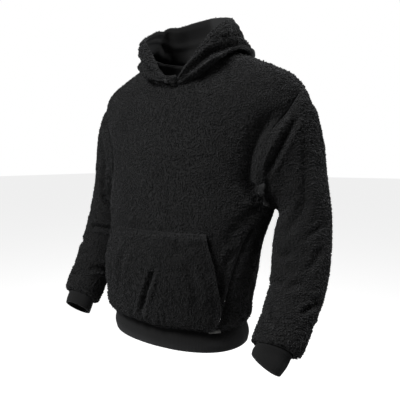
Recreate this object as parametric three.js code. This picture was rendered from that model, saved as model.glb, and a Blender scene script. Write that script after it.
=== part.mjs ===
// Pullover hoodie in black pile fleece, filled out as if worn, with nobody in it.
// Millimetres. +Z is up, the front faces -Y and the wearer's left is +X. The origin is in the middle of
// the neck, 34 mm above the inner ends of the shoulder seams. Every panel is a wall of cloth: a smooth
// outer surface worked out from the tables below, and an inner one a wall's thickness behind it.

import * as THREE from "three";

// Driving dimensions
const FLEECE_WALL = 4; // base cloth with its pile pressed flat
const RIB_WALL = 3;
const SEAM_GAP = 0.3;
const ARMHOLE_GAP = 0.4;
const TURNED_EDGE = { width: 0.16, ease: 0.1, extra: 3 }; // share of the hood's profile that is folded double
const POCKET_CLEARANCE = 0.8; // between the front and the pocket where it is sewn down
const BAND_TOP_Z = -646;
const UNDERARM_Z = -395;
const SHOULDER_TIP = { x: 284, z: -136 };
const SHOULDER_TIP_RISE = 50; // degrees that the wall's direction there rises from level
const NECK = { halfWidth: 112, frontZ: -114, sideZ: -34, backZ: -38, scoop: 1.3 };
// Degrees that the wall's direction at the neck seam rises, and the shares of the way back where that turns.
const NECK_RISE = { front: 35, back: 5, turnFrom: 0.1, turnTo: 0.6 };
const BODY_CORNER = 2.2; // 2 is an ellipse, more is squarer
const ARCH_START_Z = -300; // the chest's depth begins to close towards the shoulder line here
const ARCH_CORNER = 2.2;
const ARMHOLE_BODY_WEIGHT = 1.1; // how much more the seam's wall keeps to the body than to the sleeve
const ARMHOLE_DEPTH = 80; // half of what a plain ring there would have, from front to back
const NECK_SHARE = 0.42; // share of a panel's width whose threads end at the neck, not on the shoulder
const LEAN_START = 0.62; // share of the way up where the panel's threads begin to lean to their ends
const HEM_ROW = 0.03; // share of the way up that the first row above the hem lies
const ZERO_SPREAD = 1e-9;

// Body, a row for each height: half width, depth before and behind the middle, and the middle itself.
const BODY = [
  { z: -646, half: 170, front: 112, back: 110, mid: -62 },
  { z: -634, half: 180, front: 122, back: 118, mid: -61 },
  { z: -600, half: 185, front: 128, back: 123, mid: -58 },
  { z: -530, half: 195, front: 135, back: 130, mid: -50 },
  { z: -450, half: 205, front: 138, back: 134, mid: -36 },
  { z: -395, half: 219, front: 137, back: 136, mid: -24 },
  { z: -340, half: 226, front: 134, back: 136, mid: -13 },
  { z: -290, half: 235, front: 130, back: 133, mid: -7 },
  { z: -226, half: 259, front: 122, back: 128, mid: 0 },
  { z: -178, half: 277, front: 117, back: 126, mid: 3 },
  { z: -138, half: 293, front: 113, back: 126, mid: 5 },
  { z: -80, half: 325, front: 110, back: 128, mid: 8 },
  { z: 30, half: 360, front: 108, back: 130, mid: 8 },
];

// Where the front and the back end, as an angle round the body from the middle of each. Below the
// underarm that is the side seam, which slants forward to the hem. Above it, it is the armhole.
const PANEL_EDGE = [
  { z: -646, front: 54, back: 126 },
  { z: -605, front: 59, back: 121 },
  { z: -530, front: 63, back: 117 },
  { z: -450, front: 71, back: 109 },
  { z: -410, front: 83, back: 97 },
  { z: -395, front: 90, back: 90 },
  { z: -388, front: 84, back: 83 },
  { z: -370, front: 76, back: 76 },
  { z: -340, front: 65, back: 69 },
  { z: -290, front: 61, back: 63 },
  { z: -254, front: 60, back: 62 },
  { z: -226, front: 62, back: 63 },
  { z: -178, front: 70, back: 70 },
  { z: -138, front: 72, back: 72 },
];

// The shoulder line, from the middle of the neck out to the sleeve.
const SHOULDER_LINE = [
  { x: 0, z: 12 },
  { x: 60, z: -6 },
  { x: 112, z: -34 },
  { x: 150, z: -51 },
  { x: 200, z: -73 },
  { x: 250, z: -100 },
  { x: 284, z: -136 },
  { x: 320, z: -200 },
];

// Left sleeve, a row for each ring after the armhole: the ring's outermost and innermost points in the
// front view, its middle from front to back, its half depth there, how far the ring leans forward, and
// how much of the armhole's own outline it keeps.
const SLEEVE = [
  { outX: 298, outZ: -156, inX: 226, inZ: -398, midY: 0, depth: 82, lean: 0, keep: 0.8 },
  { outX: 313, outZ: -190, inX: 229, inZ: -402, midY: 8, depth: 80, lean: 0, keep: 0.5 },
  { outX: 320, outZ: -240, inX: 231, inZ: -408, midY: 15, depth: 76, lean: 0, keep: 0.22 },
  { outX: 325, outZ: -296, inX: 231, inZ: -415, midY: 18, depth: 71, lean: 0, keep: 0 },
  { outX: 335, outZ: -355, inX: 228, inZ: -424, midY: 14, depth: 67, lean: 4, keep: 0 },
  { outX: 344, outZ: -412, inX: 224, inZ: -440, midY: 6, depth: 63, lean: 10, keep: 0 },
  { outX: 349, outZ: -468, inX: 223, inZ: -478, midY: -10, depth: 60, lean: 18, keep: 0 },
  { outX: 351, outZ: -522, inX: 228, inZ: -522, midY: -30, depth: 57, lean: 27, keep: 0 },
  { outX: 349, outZ: -568, inX: 232, inZ: -568, midY: -57, depth: 54, lean: 34, keep: 0 },
  { outX: 342, outZ: -606, inX: 232, inZ: -606, midY: -86, depth: 52, lean: 39, keep: 0 },
  { outX: 337, outZ: -638, inX: 227, inZ: -637, midY: -112, depth: 50, lean: 42, keep: 0 },
  { outX: 332, outZ: -656, inX: 226, inZ: -654, midY: -126, depth: 48, lean: 43, keep: 0 },
  { outX: 316, outZ: -662, inX: 238, inZ: -663, midY: -133, depth: 37, lean: 43, keep: 0 },
];

// The right arm is bent a little more, so below startZ its sleeve rises and closes in by this much.
const RIGHT_ARM = { startZ: -380, endZ: -640, raise: 15, closer: 7 };

// Cuffs, from the sleeve's end to the open end, in the left arm's place: each ring's centre, its two half
// widths, how far it leans forward and how far it tilts inwards. The left hand is bent inwards.
const LEFT_CUFF = [
  { x: 276.1, y: -132.7, z: -661.9, wide: 36, deep: 33, lean: 43, tilt: 0 },
  { x: 271.5, y: -142, z: -674, wide: 36.5, deep: 33, lean: 33, tilt: 13 },
  { x: 266, y: -149, z: -687, wide: 34, deep: 31, lean: 22, tilt: 26 },
];
const RIGHT_CUFF = [
  { x: 276.1, y: -132.7, z: -661.9, wide: 36, deep: 33, lean: 43, tilt: 0 },
  { x: 272.5, y: -143, z: -673.5, wide: 37, deep: 33, lean: 43, tilt: 0 },
  { x: 268.5, y: -153, z: -685.5, wide: 36, deep: 32, lean: 43, tilt: 0 },
];

// Hem band, from its own lower edge up to the body's.
const BAND = [
  { z: -700, half: 175, front: 113, back: 110, mid: -62 },
  { z: -684, half: 178, front: 116, back: 113, mid: -62 },
  { z: -662, half: 177, front: 116, back: 113, mid: -62 },
  { z: -646.3, half: 170, front: 112, back: 110, mid: -62 },
];

// Pocket, a row for each height: its half width and how far it stands off the front.
const POCKET = [
  { z: -636, half: 142, bulge: 0 },
  { z: -618, half: 150, bulge: 5 },
  { z: -596, half: 154, bulge: 8 },
  { z: -560, half: 151, bulge: 11 },
  { z: -510, half: 144, bulge: 10 },
  { z: -462, half: 131, bulge: 5 },
  { z: -440, half: 127, bulge: 0 },
];

const POCKET_SIDE_FLAT = { share: 0.35, power: 4 }; // how much less the pocket stands off at its sides

// The blank tab let into the seam above the band: its two ends as angles round the body, and its edges.
const HEM_TAB = { from: 47, to: 58, bottom: -652.5, top: -647, clearance: 0.4, thickness: 1, columns: 6 };

// Hood, a row for each angle round the neck from the middle of the front. Each pair gives how far out
// and how far up from the neck seam the cloth runs: the roll on the shoulders, the dip above it, the
// brow under the edge, and the rim itself.
const HOOD = [
  { at: 0, rollOut: 4, rollUp: 4, dipOut: 5, dipUp: 10, browOut: 5, browUp: 16, rimOut: 2, rimUp: 22 },
  { at: 25, rollOut: 18, rollUp: 8, dipOut: 14, dipUp: 24, browOut: 15, browUp: 38, rimOut: 4, rimUp: 50 },
  { at: 50, rollOut: 25, rollUp: 14, dipOut: 22, dipUp: 36, browOut: 26, browUp: 61, rimOut: 13, rimUp: 79 },
  { at: 68, rollOut: 28, rollUp: 12, dipOut: 22, dipUp: 31, browOut: 21, browUp: 59, rimOut: 6, rimUp: 77 },
  { at: 90, rollOut: 34, rollUp: 4, dipOut: 20, dipUp: 24, browOut: 9, browUp: 52, rimOut: -6, rimUp: 72 },
  { at: 120, rollOut: 39, rollUp: -2, dipOut: 23, dipUp: 18, browOut: 7, browUp: 50, rimOut: -14, rimUp: 92 },
  { at: 150, rollOut: 44, rollUp: -5, dipOut: 27, dipUp: 18, browOut: 16, browUp: 60, rimOut: -10, rimUp: 108 },
  { at: 180, rollOut: 48, rollUp: -8, dipOut: 32, dipUp: 20, browOut: 26, browUp: 70, rimOut: 2, rimUp: 120 },
];
const HOOD_UNDERSIDE = { out: 0.6, up: 0.3, rise: 4 }; // shares of the roll, and a rise, out of the seam
const HOOD_CROSSING = { angle: 5, lift: 10.5, rise: 0.7, fadeAngle: 45 }; // the right half laps over the left

// How finely each piece is divided
const NECK_STEPS = 6; // each quarter of the neck
const SHOULDER_STEPS = 4;
const SIDE_ROWS = 9;
const ARMHOLE_ROWS = 10;
const ARMHOLE_CROWDING = 0.75; // how much closer the rows lie at the armhole's two ends
const HOOD_ROWS = 12;
const BAND_STEPS = 40;
const CUFF_STEPS = 20;
const POCKET_COLUMNS = 12;
const POCKET_ROWS = 8;
const DERIVATIVE_STEP = 0.004;
const ANGLE_STEP = 0.5;
const SHARE_STEP = 0.02;

const radians = THREE.MathUtils.degToRad;
const mix = THREE.MathUtils.lerp;
const smooth = (from, to, at) => THREE.MathUtils.smoothstep(at, from, to);

// Reads a table at any place between its rows, by a smooth curve that never overshoots a row.
function reader(rows, key) {
  const columns = Object.keys(rows[0]).filter((name) => name !== key);
  const places = rows.map((row) => row[key]);
  const slopes = {};
  for (const name of columns) {
    const secants = rows.slice(1).map((row, i) => (row[name] - rows[i][name]) / (places[i + 1] - places[i]));
    slopes[name] = rows.map((row, i) => {
      if (i === 0) return secants[0];
      if (i === rows.length - 1) return secants[i - 1];
      const product = secants[i - 1] * secants[i];
      return product <= 0 ? 0 : (2 * product) / (secants[i - 1] + secants[i]);
    });
  }
  return (at) => {
    const place = THREE.MathUtils.clamp(at, places[0], places[places.length - 1]);
    let i = 0;
    while (i < places.length - 2 && place > places[i + 1]) i += 1;
    const span = places[i + 1] - places[i];
    const t = (place - places[i]) / span;
    const read = {};
    for (const name of columns) {
      const [a, b] = [rows[i][name], rows[i + 1][name]];
      const [slopeA, slopeB] = [slopes[name][i] * span, slopes[name][i + 1] * span];
      const bend = 3 * (b - a) - 2 * slopeA - slopeB;
      const twist = 2 * (a - b) + slopeA + slopeB;
      read[name] = a + t * (slopeA + t * (bend + t * twist));
    }
    return read;
  };
}

const bodyAt = reader(BODY, "z");
const edgeAt = reader(PANEL_EDGE, "z");
const shoulderAt = reader(SHOULDER_LINE, "x");
const bandAt = reader(BAND, "z");
const pocketAt = reader(POCKET, "z");
const hoodAt = reader(HOOD, "at");

// A rounded corner of the given squareness: 1 at the middle and 0 at the end.
const rounded = (share, corner) => Math.pow(Math.max(1 - Math.pow(Math.abs(share), corner), 0), 1 / corner);

// The body's outer surface seen from the front (side -1) or the back (side 1).
function bodyY(side, x, z) {
  const row = bodyAt(z);
  const reach = side < 0 ? row.front : row.back;
  const ridge = shoulderAt(Math.abs(x)).z;
  const climb = THREE.MathUtils.clamp((z - ARCH_START_Z) / (ridge - ARCH_START_Z), 0, 1);
  return row.mid + side * reach * rounded(x / row.half, BODY_CORNER) * rounded(climb, ARCH_CORNER);
}

// How far across a squared ring of the given half width a point lies at an angle round it.
function ringX(half, turn) {
  const across = Math.sin(turn);
  return half * Math.sign(across) * Math.pow(Math.abs(across), 2 / BODY_CORNER);
}

// The neck seam: angle 0 is the middle of the front, 180 the middle of the back, and the left is positive.
function neckPoint(angle) {
  const turn = radians(angle);
  const x = NECK.halfWidth * Math.sin(turn);
  const front = Math.cos(turn) >= 0;
  const drop = front
    ? (NECK.frontZ - NECK.sideZ) * Math.pow(Math.cos(turn), NECK.scoop)
    : (NECK.backZ - NECK.sideZ) * Math.abs(Math.cos(turn));
  const z = NECK.sideZ + drop;
  const onRidge = Math.abs(Math.cos(turn)) < ZERO_SPREAD;
  return new THREE.Vector3(x, onRidge ? bodyAt(z).mid : bodyY(front ? -1 : 1, x, z), z);
}

// One body panel as a function of its column (from -1 to 1) and its climb (from 0 at the hem to 1 on top).
// top is where the column ends on the shoulder or the neck.
function panelPoint(side, column, sideZ, climb, top) {
  const widest = radians(edgeAt(sideZ)[side < 0 ? "front" : "back"]);
  const turn = widest * column;
  const z = mix(BAND_TOP_Z, top.z, climb);
  const ring = ringX(bodyAt(z).half, turn);
  const edge = ringX(bodyAt(sideZ).half, widest);
  const x = mix(ring, (edge * top.x) / SHOULDER_TIP.x, smooth(LEAN_START, 1, climb));
  const facing = Math.cos(turn) >= 0 ? side : -side;
  return new THREE.Vector3(x, bodyY(facing, x, z), z);
}

// Each body column: its share of the panel's width, and its end on the neck seam or the shoulder line.
function bodyColumns(side) {
  const half = [];
  for (let i = 0; i <= NECK_STEPS; i += 1) {
    const angle = side < 0 ? (90 * i) / NECK_STEPS : 180 - (90 * i) / NECK_STEPS;
    half.push({ share: NECK_SHARE * (i / NECK_STEPS), top: neckPoint(angle) });
  }
  for (let i = 1; i <= SHOULDER_STEPS; i += 1) {
    const x = mix(NECK.halfWidth, SHOULDER_TIP.x, i / SHOULDER_STEPS);
    const z = shoulderAt(x).z;
    half.push({ share: mix(NECK_SHARE, 1, i / SHOULDER_STEPS), top: new THREE.Vector3(x, bodyAt(z).mid, z) });
  }
  const mirrored = half.slice(1).reverse().map(({ share, top }) => ({
    share: -share,
    top: new THREE.Vector3(-top.x, top.y, top.z),
  }));
  return [...mirrored, ...half];
}

// The body's rows, as shares of the way up: even to the underarm, then closer at the armhole's two ends.
function bodyRows() {
  const underarm = (UNDERARM_Z - BAND_TOP_Z) / (SHOULDER_TIP.z - BAND_TOP_Z);
  const rows = [0, HEM_ROW];
  for (let i = 1; i <= SIDE_ROWS - 1; i += 1) rows.push(mix(HEM_ROW, underarm, i / (SIDE_ROWS - 1)));
  for (let i = 1; i <= ARMHOLE_ROWS; i += 1) {
    const even = i / ARMHOLE_ROWS;
    rows.push(mix(underarm, 1, mix(even, (1 - Math.cos(even * Math.PI)) / 2, ARMHOLE_CROWDING)));
  }
  return rows;
}

// Turns a grid of outer points and their outward directions into one closed wall of cloth.
// thickness is a number, or a function of the row. A closed grid joins its last column to its first.
function wall(points, outwards, thickness, closed) {
  const rows = points.length;
  const columns = points[0].length;
  const depth = typeof thickness === "number" ? () => thickness : thickness;
  const position = [];
  const push = (p) => position.push(p.x, p.y, p.z);
  points.forEach((row) => row.forEach(push));
  points.forEach((row, i) => {
    row.forEach((p, j) => push(p.clone().addScaledVector(outwards[i][j], -depth(i))));
  });
  const index = [];
  const inner = rows * columns;
  const at = (i, j, layer) => layer * inner + i * columns + (j % columns);
  const vertex = (i) => new THREE.Vector3().fromArray(position, i * 3);
  const gap = (a, b) => vertex(a).distanceTo(vertex(b));
  const face = (a, b, c, d) => {
    if (gap(a, c) <= gap(b, d)) index.push(a, b, c, a, c, d);
    else index.push(a, b, d, b, c, d);
  };
  const spans = closed ? columns : columns - 1;
  for (let i = 0; i < rows - 1; i += 1) {
    for (let j = 0; j < spans; j += 1) {
      face(at(i, j, 0), at(i, j + 1, 0), at(i + 1, j + 1, 0), at(i + 1, j, 0));
      face(at(i, j, 1), at(i + 1, j, 1), at(i + 1, j + 1, 1), at(i, j + 1, 1));
    }
  }
  // A rim between two outer and two inner points, cut from the higher outer one, alike where pieces meet.
  const rim = (outerA, outerB, innerB, innerA) => {
    const fromA = vertex(outerA).z > vertex(outerB).z;
    const cut = fromA ? [outerA, outerB, innerB, innerA] : [outerB, innerB, innerA, outerA];
    index.push(cut[0], cut[1], cut[2], cut[0], cut[2], cut[3]);
  };
  for (let j = 0; j < spans; j += 1) {
    rim(at(0, j + 1, 0), at(0, j, 0), at(0, j, 1), at(0, j + 1, 1));
    rim(at(rows - 1, j, 0), at(rows - 1, j + 1, 0), at(rows - 1, j + 1, 1), at(rows - 1, j, 1));
  }
  if (!closed) {
    for (let i = 0; i < rows - 1; i += 1) {
      rim(at(i, 0, 0), at(i + 1, 0, 0), at(i + 1, 0, 1), at(i, 0, 1));
      rim(at(i + 1, columns - 1, 0), at(i, columns - 1, 0), at(i, columns - 1, 1), at(i + 1, columns - 1, 1));
    }
  }
  return facingOut(position, index);
}

// A geometry from positions and faces, turned round if its faces point inwards.
function facingOut(position, index) {
  const [a, b, c] = [new THREE.Vector3(), new THREE.Vector3(), new THREE.Vector3()];
  let volume = 0;
  for (let i = 0; i < index.length; i += 3) {
    a.fromArray(position, index[i] * 3);
    b.fromArray(position, index[i + 1] * 3);
    c.fromArray(position, index[i + 2] * 3);
    volume += a.dot(b.cross(c));
  }
  if (volume < 0) index.reverse();
  const geometry = new THREE.BufferGeometry();
  geometry.setAttribute("position", new THREE.Float32BufferAttribute(position, 3));
  geometry.setIndex(index);
  geometry.computeVertexNormals();
  return geometry;
}

// The outward direction of a surface given as a function of two values, by small steps each way.
function outward(surface, u, v, reference) {
  const alongU = surface(u + DERIVATIVE_STEP, v).sub(surface(u - DERIVATIVE_STEP, v));
  const alongV = surface(u, v + DERIVATIVE_STEP).sub(surface(u, v - DERIVATIVE_STEP));
  const direction = alongU.cross(alongV).normalize();
  return direction.dot(reference) < 0 ? direction.negate() : direction;
}

// One body panel's points and outward directions, before its seams are set.
function bodyGrid(side) {
  const columns = bodyColumns(side);
  const rows = bodyRows();
  const points = [];
  const directions = [];
  for (const climb of rows) {
    const sideZ = mix(BAND_TOP_Z, SHOULDER_TIP.z, climb);
    const panelAt = (share, top) => panelPoint(side, share, sideZ, climb, top);
    points.push(columns.map(({ share, top }) => (climb === 1 ? top.clone() : panelAt(share, top))));
    directions.push(
      columns.map(({ share, top }) => {
        const level = THREE.MathUtils.clamp(climb, DERIVATIVE_STEP, 1 - DERIVATIVE_STEP * 2);
        const surface = (u, v) =>
          panelPoint(side, u, mix(BAND_TOP_Z, SHOULDER_TIP.z, v), v, columnTop(columns, u, top));
        const here = surface(share, level);
        return outward(surface, share, level, here.clone().setZ(0).setY(here.y - bodyAt(here.z).mid));
      }),
    );
  }
  return { columns, rows, points, directions };
}

// Where a column between the given ones ends on top.
function columnTop(columns, share, fallback) {
  for (let i = 0; i < columns.length - 1; i += 1) {
    const [a, b] = [columns[i], columns[i + 1]];
    if (share >= a.share && share <= b.share) {
      return a.top.clone().lerp(b.top, (share - a.share) / (b.share - a.share));
    }
  }
  return fallback;
}

// Parts two pieces along a shared line of points: both keep the same wall direction there, and each
// steps back half the seam's gap.
function seam(line, directions, closed) {
  return line.map((p, i) => {
    const before = line[closed ? (i + line.length - 1) % line.length : Math.max(i - 1, 0)];
    const after = line[closed ? (i + 1) % line.length : Math.min(i + 1, line.length - 1)];
    const along = after.clone().sub(before).normalize();
    const across = along.clone().cross(directions[i]).normalize();
    return { point: p, direction: directions[i], across };
  });
}

const FRONT = bodyGrid(-1);
const BACK = bodyGrid(1);
const UNDERARM_ROW = SIDE_ROWS;
const TOP_ROW = FRONT.rows.length - 1;
const LAST_COLUMN = FRONT.columns.length - 1;

// The left sleeve's rings, from the armhole's own points down to the cuff. Angle 0 is the shoulder tip,
// then the front, the underarm and the back.
function sleeveRings() {
  const loop = [];
  for (let i = TOP_ROW; i >= UNDERARM_ROW; i -= 1) loop.push(FRONT.points[i][LAST_COLUMN]);
  for (let i = UNDERARM_ROW + 1; i < TOP_ROW; i += 1) loop.push(BACK.points[i][LAST_COLUMN]);
  const count = loop.length;
  const tip = loop[0];
  const under = loop[count / 2];
  const middle = tip.clone().add(under).multiplyScalar(0.5);
  const up = tip.clone().sub(middle);
  const spare = loop.map((p, i) => {
    const turn = (2 * Math.PI * i) / count;
    const plain = middle.clone().addScaledVector(up, Math.cos(turn));
    plain.y -= ARMHOLE_DEPTH * Math.sin(turn);
    return p.clone().sub(plain);
  });
  const rings = [loop];
  for (const row of SLEEVE) {
    const outer = new THREE.Vector3(row.outX, row.midY, row.outZ);
    const inner = new THREE.Vector3(row.inX, row.midY, row.inZ);
    const centre = outer.clone().add(inner).multiplyScalar(0.5);
    const side = outer.clone().sub(centre);
    const forward = new THREE.Vector3(0, -Math.cos(radians(row.lean)), Math.sin(radians(row.lean)));
    rings.push(
      loop.map((_, i) => {
        const turn = (2 * Math.PI * i) / count;
        return centre
          .clone()
          .addScaledVector(side, Math.cos(turn))
          .addScaledVector(forward, row.depth * Math.sin(turn))
          .addScaledVector(spare[i], row.keep);
      }),
    );
  }
  return rings;
}

// Outward directions of a stack of closed rings, from each point's neighbours, all turned the same way.
function ringDirections(rings) {
  let outwards = 0;
  const directions = rings.map((ring, i) => {
    const count = ring.length;
    const centre = ring.reduce((sum, p) => sum.add(p), new THREE.Vector3()).divideScalar(count);
    return ring.map((p, j) => {
      const around = ring[(j + 1) % count].clone().sub(ring[(j + count - 1) % count]);
      const along = rings[Math.min(i + 1, rings.length - 1)][j].clone().sub(rings[Math.max(i - 1, 0)][j]);
      const direction = around.cross(along).normalize();
      outwards += direction.dot(p.clone().sub(centre));
      return direction;
    });
  });
  if (outwards < 0) directions.forEach((ring) => ring.forEach((direction) => direction.negate()));
  return directions;
}

const SLEEVE_RINGS = sleeveRings();
const SLEEVE_DIRECTIONS = ringDirections(SLEEVE_RINGS);

// Sets the armhole seam: the body's edge and the sleeve's first ring share one wall direction.
function setArmhole() {
  const loop = SLEEVE_RINGS[0].map((p) => p.clone());
  const count = loop.length;
  const half = count / 2;
  const places = loop.map((_, i) => {
    if (i <= half) return { panel: FRONT, row: TOP_ROW - i };
    return { panel: BACK, row: UNDERARM_ROW + (i - half) };
  });
  const directions = places.map(({ panel, row }, i) => {
    const body = panel.directions[row][LAST_COLUMN];
    return body.clone().multiplyScalar(ARMHOLE_BODY_WEIGHT).add(SLEEVE_DIRECTIONS[0][i]).normalize();
  });
  const tipRise = radians(SHOULDER_TIP_RISE);
  directions[0].set(Math.cos(tipRise), 0, Math.sin(tipRise));
  const even = directions.map((own, i) => {
    const [before, after] = [directions[(i + count - 1) % count], directions[(i + 1) % count]];
    return own.clone().multiplyScalar(2).add(before).add(after).normalize();
  });
  const set = seam(loop, even, true);
  set.forEach(({ point, direction, across }, i) => {
    if (across.x < 0) across.negate();
    SLEEVE_RINGS[0][i] = point.clone().addScaledVector(across, ARMHOLE_GAP / 2);
    SLEEVE_DIRECTIONS[0][i] = direction;
    const bodyEdge = point.clone().addScaledVector(across, -ARMHOLE_GAP / 2);
    const { panel, row } = places[i];
    setBothSides(panel, row, bodyEdge, direction);
    if (i === half || i === 0) setBothSides(BACK, row, bodyEdge, direction);
  });
}

// Sets a body panel's outermost points in one row, on the left and, mirrored, on the right.
function setBothSides(panel, row, point, direction) {
  panel.points[row][LAST_COLUMN] = point.clone();
  panel.directions[row][LAST_COLUMN] = direction.clone();
  panel.points[row][0] = new THREE.Vector3(-point.x, point.y, point.z);
  panel.directions[row][0] = new THREE.Vector3(-direction.x, direction.y, direction.z);
}

// Steps the two body panels apart at the side seams and along the shoulders, and squares the hem edge.
function partBody() {
  const side = [];
  for (let i = 0; i <= UNDERARM_ROW; i += 1) side.push(FRONT.points[i][LAST_COLUMN].clone());
  const directions = side.map((_, i) => FRONT.directions[i][LAST_COLUMN].clone());
  seam(side, directions, false).forEach(({ point, direction, across }, i) => {
    if (across.y > 0) across.negate();
    setBothSides(FRONT, i, point.clone().addScaledVector(across, SEAM_GAP / 2), direction);
    setBothSides(BACK, i, point.clone().addScaledVector(across, -SEAM_GAP / 2), direction);
  });
  for (const [panel, step] of [[FRONT, -1], [BACK, 1]]) {
    panel.columns.forEach(({ top }, j) => {
      const x = Math.abs(top.x);
      if (x < NECK.halfWidth - 1) return;
      const slope = (shoulderAt(x + 1).z - shoulderAt(x - 1).z) / 2;
      const direction = new THREE.Vector3(-slope * Math.sign(top.x), 0, 1).normalize();
      panel.directions[TOP_ROW][j] = direction;
      panel.points[TOP_ROW][j].y += (step * SEAM_GAP) / 2;
    });
    panel.directions[0].forEach((direction) => direction.setZ(0).normalize());
    panel.columns.forEach(({ top }, j) => {
      if (Math.abs(top.x) > NECK.halfWidth + 1) return;
      const angle = THREE.MathUtils.radToDeg(Math.asin(THREE.MathUtils.clamp(top.x / NECK.halfWidth, -1, 1)));
      const { direction, across } = neckWall(step < 0 ? angle : 180 - angle);
      panel.directions[TOP_ROW][j] = direction;
      panel.points[TOP_ROW][j].addScaledVector(across, -SEAM_GAP / 2);
    });
  }
}

// The wall's direction at the neck seam, and the way from the body to the hood across it.
function neckWall(angle) {
  const turn = radians(angle);
  const backward = (1 - Math.cos(turn)) / 2;
  const turned = smooth(NECK_RISE.turnFrom, NECK_RISE.turnTo, backward);
  const rise = radians(mix(NECK_RISE.front, NECK_RISE.back, turned));
  const out = new THREE.Vector3(Math.sin(turn), -Math.cos(turn), 0);
  const direction = out.clone().multiplyScalar(Math.cos(rise)).setZ(Math.sin(rise));
  const across = out.clone().multiplyScalar(-Math.sin(rise)).setZ(Math.cos(rise));
  return { direction, across };
}

setArmhole();
partBody();

// The hood's outer surface: angle round the neck, and share of the way from the neck seam to the rim.
function hoodPoint(angle, share, lift) {
  const row = hoodAt(Math.abs(angle));
  const base = neckPoint(angle);
  const turn = radians(angle);
  const out = new THREE.Vector3(Math.sin(turn), -Math.cos(turn), 0);
  const profile = [
    [0, 0],
    [row.rollOut * HOOD_UNDERSIDE.out, row.rollUp * HOOD_UNDERSIDE.up + HOOD_UNDERSIDE.rise],
    [row.rollOut, row.rollUp],
    [row.dipOut, row.dipUp],
    [row.browOut, row.browUp],
    [row.rimOut, row.rimUp],
  ].map(([x, y]) => new THREE.Vector3(x, y, 0));
  const along = THREE.MathUtils.clamp(share, 0, 1);
  const spot = new THREE.CatmullRomCurve3(profile, false, "centripetal").getPoint(along);
  base.z += spot.y + lift * HOOD_CROSSING.rise;
  return base.addScaledVector(out, spot.x + lift);
}

// One half of the hood; side is 1 for the wearer's left. The right half laps over the left in front.
function hoodHalf(side) {
  const angles = side < 0 ? [-HOOD_CROSSING.angle] : [];
  for (let i = 0; i <= 2 * NECK_STEPS; i += 1) angles.push((180 * i) / (2 * NECK_STEPS));
  const raise = (angle) =>
    side < 0 ? HOOD_CROSSING.lift * (1 - smooth(0, HOOD_CROSSING.fadeAngle, angle)) : 0;
  const surface = (angle, share) => hoodPoint(angle, share, raise(angle));
  const points = [];
  const directions = [];
  for (let i = 0; i <= HOOD_ROWS; i += 1) {
    const share = i / HOOD_ROWS;
    points.push([]);
    directions.push([]);
    for (const angle of angles) {
      const level = THREE.MathUtils.clamp(share, SHARE_STEP, 1 - SHARE_STEP);
      const around = surface(angle + ANGLE_STEP, level).sub(surface(angle - ANGLE_STEP, level));
      const along = surface(angle, level + SHARE_STEP).sub(surface(angle, level - SHARE_STEP));
      points[i].push(surface(angle, share));
      directions[i].push(around.cross(along).normalize());
    }
  }
  points[0].forEach((p, j) => {
    const { direction, across } = neckWall(angles[j]);
    directions[0][j] = direction;
    p.addScaledVector(across, SEAM_GAP / 2);
  });
  points.forEach((row, i) => {
    row[row.length - 1].x += SEAM_GAP / 2;
    directions[i][row.length - 1].setX(0).normalize();
  });
  const turned = 1 - TURNED_EDGE.width;
  const doubled = (i) => smooth(turned - TURNED_EDGE.ease, turned + TURNED_EDGE.ease / 2, i / HOOD_ROWS);
  const depth = (i) => FLEECE_WALL + TURNED_EDGE.extra * doubled(i);
  if (side < 0) {
    for (const row of points) for (const p of row) p.x = -p.x;
    for (const row of directions) for (const d of row) d.x = -d.x;
  }
  return wall(points, directions, depth, false);
}

// Puts a point of the left sleeve or cuff on the given side, where the right arm is bent a little more.
function onArm(side, p) {
  if (side > 0) return p.clone();
  const bent = smooth(-RIGHT_ARM.startZ, -RIGHT_ARM.endZ, -p.z);
  return new THREE.Vector3(bent * RIGHT_ARM.closer - p.x, p.y, p.z + bent * RIGHT_ARM.raise);
}

// The sleeve on either side; side is 1 for the wearer's left.
function sleeve(side) {
  const rings = SLEEVE_RINGS.map((ring) => ring.map((p) => onArm(side, p)));
  const mirrored = (d) => new THREE.Vector3(d.x * side, d.y, d.z);
  const directions = SLEEVE_DIRECTIONS.map((ring) => ring.map(mirrored));
  return wall(rings, directions, FLEECE_WALL, true);
}

function cuff(side) {
  const rings = (side > 0 ? LEFT_CUFF : RIGHT_CUFF).map((row) => {
    const [lean, tilt] = [radians(row.lean), radians(row.tilt)];
    const forward = new THREE.Vector3(0, -Math.cos(lean), Math.sin(lean));
    const down = new THREE.Vector3(0, -Math.sin(lean), -Math.cos(lean));
    const outer = new THREE.Vector3(Math.cos(tilt), 0, 0).addScaledVector(down, Math.sin(tilt));
    const ring = [];
    for (let i = 0; i < CUFF_STEPS; i += 1) {
      const turn = (2 * Math.PI * i) / CUFF_STEPS;
      const p = new THREE.Vector3(row.x, row.y, row.z).addScaledVector(outer, row.wide * Math.cos(turn));
      ring.push(p.addScaledVector(forward, row.deep * Math.sin(turn)));
    }
    return ring;
  });
  const placed = rings.map((ring) => ring.map((p) => onArm(side, p)));
  return wall(placed, ringDirections(placed), RIB_WALL, true);
}

// A point of the hem band's outer surface, at an angle round it from the middle of the front.
function bandPoint(turn, z) {
  const row = bandAt(z);
  const x = ringX(row.half, turn);
  const facing = Math.cos(turn) >= 0 ? -1 : 1;
  const reach = facing < 0 ? row.front : row.back;
  return new THREE.Vector3(x, row.mid + facing * reach * rounded(x / row.half, BODY_CORNER), z);
}

function hemBand() {
  const rings = BAND.map(({ z }) => {
    const ring = [];
    for (let i = 0; i < BAND_STEPS; i += 1) ring.push(bandPoint((2 * Math.PI * i) / BAND_STEPS, z));
    return ring;
  });
  return wall(rings, ringDirections(rings), RIB_WALL, true);
}

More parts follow.
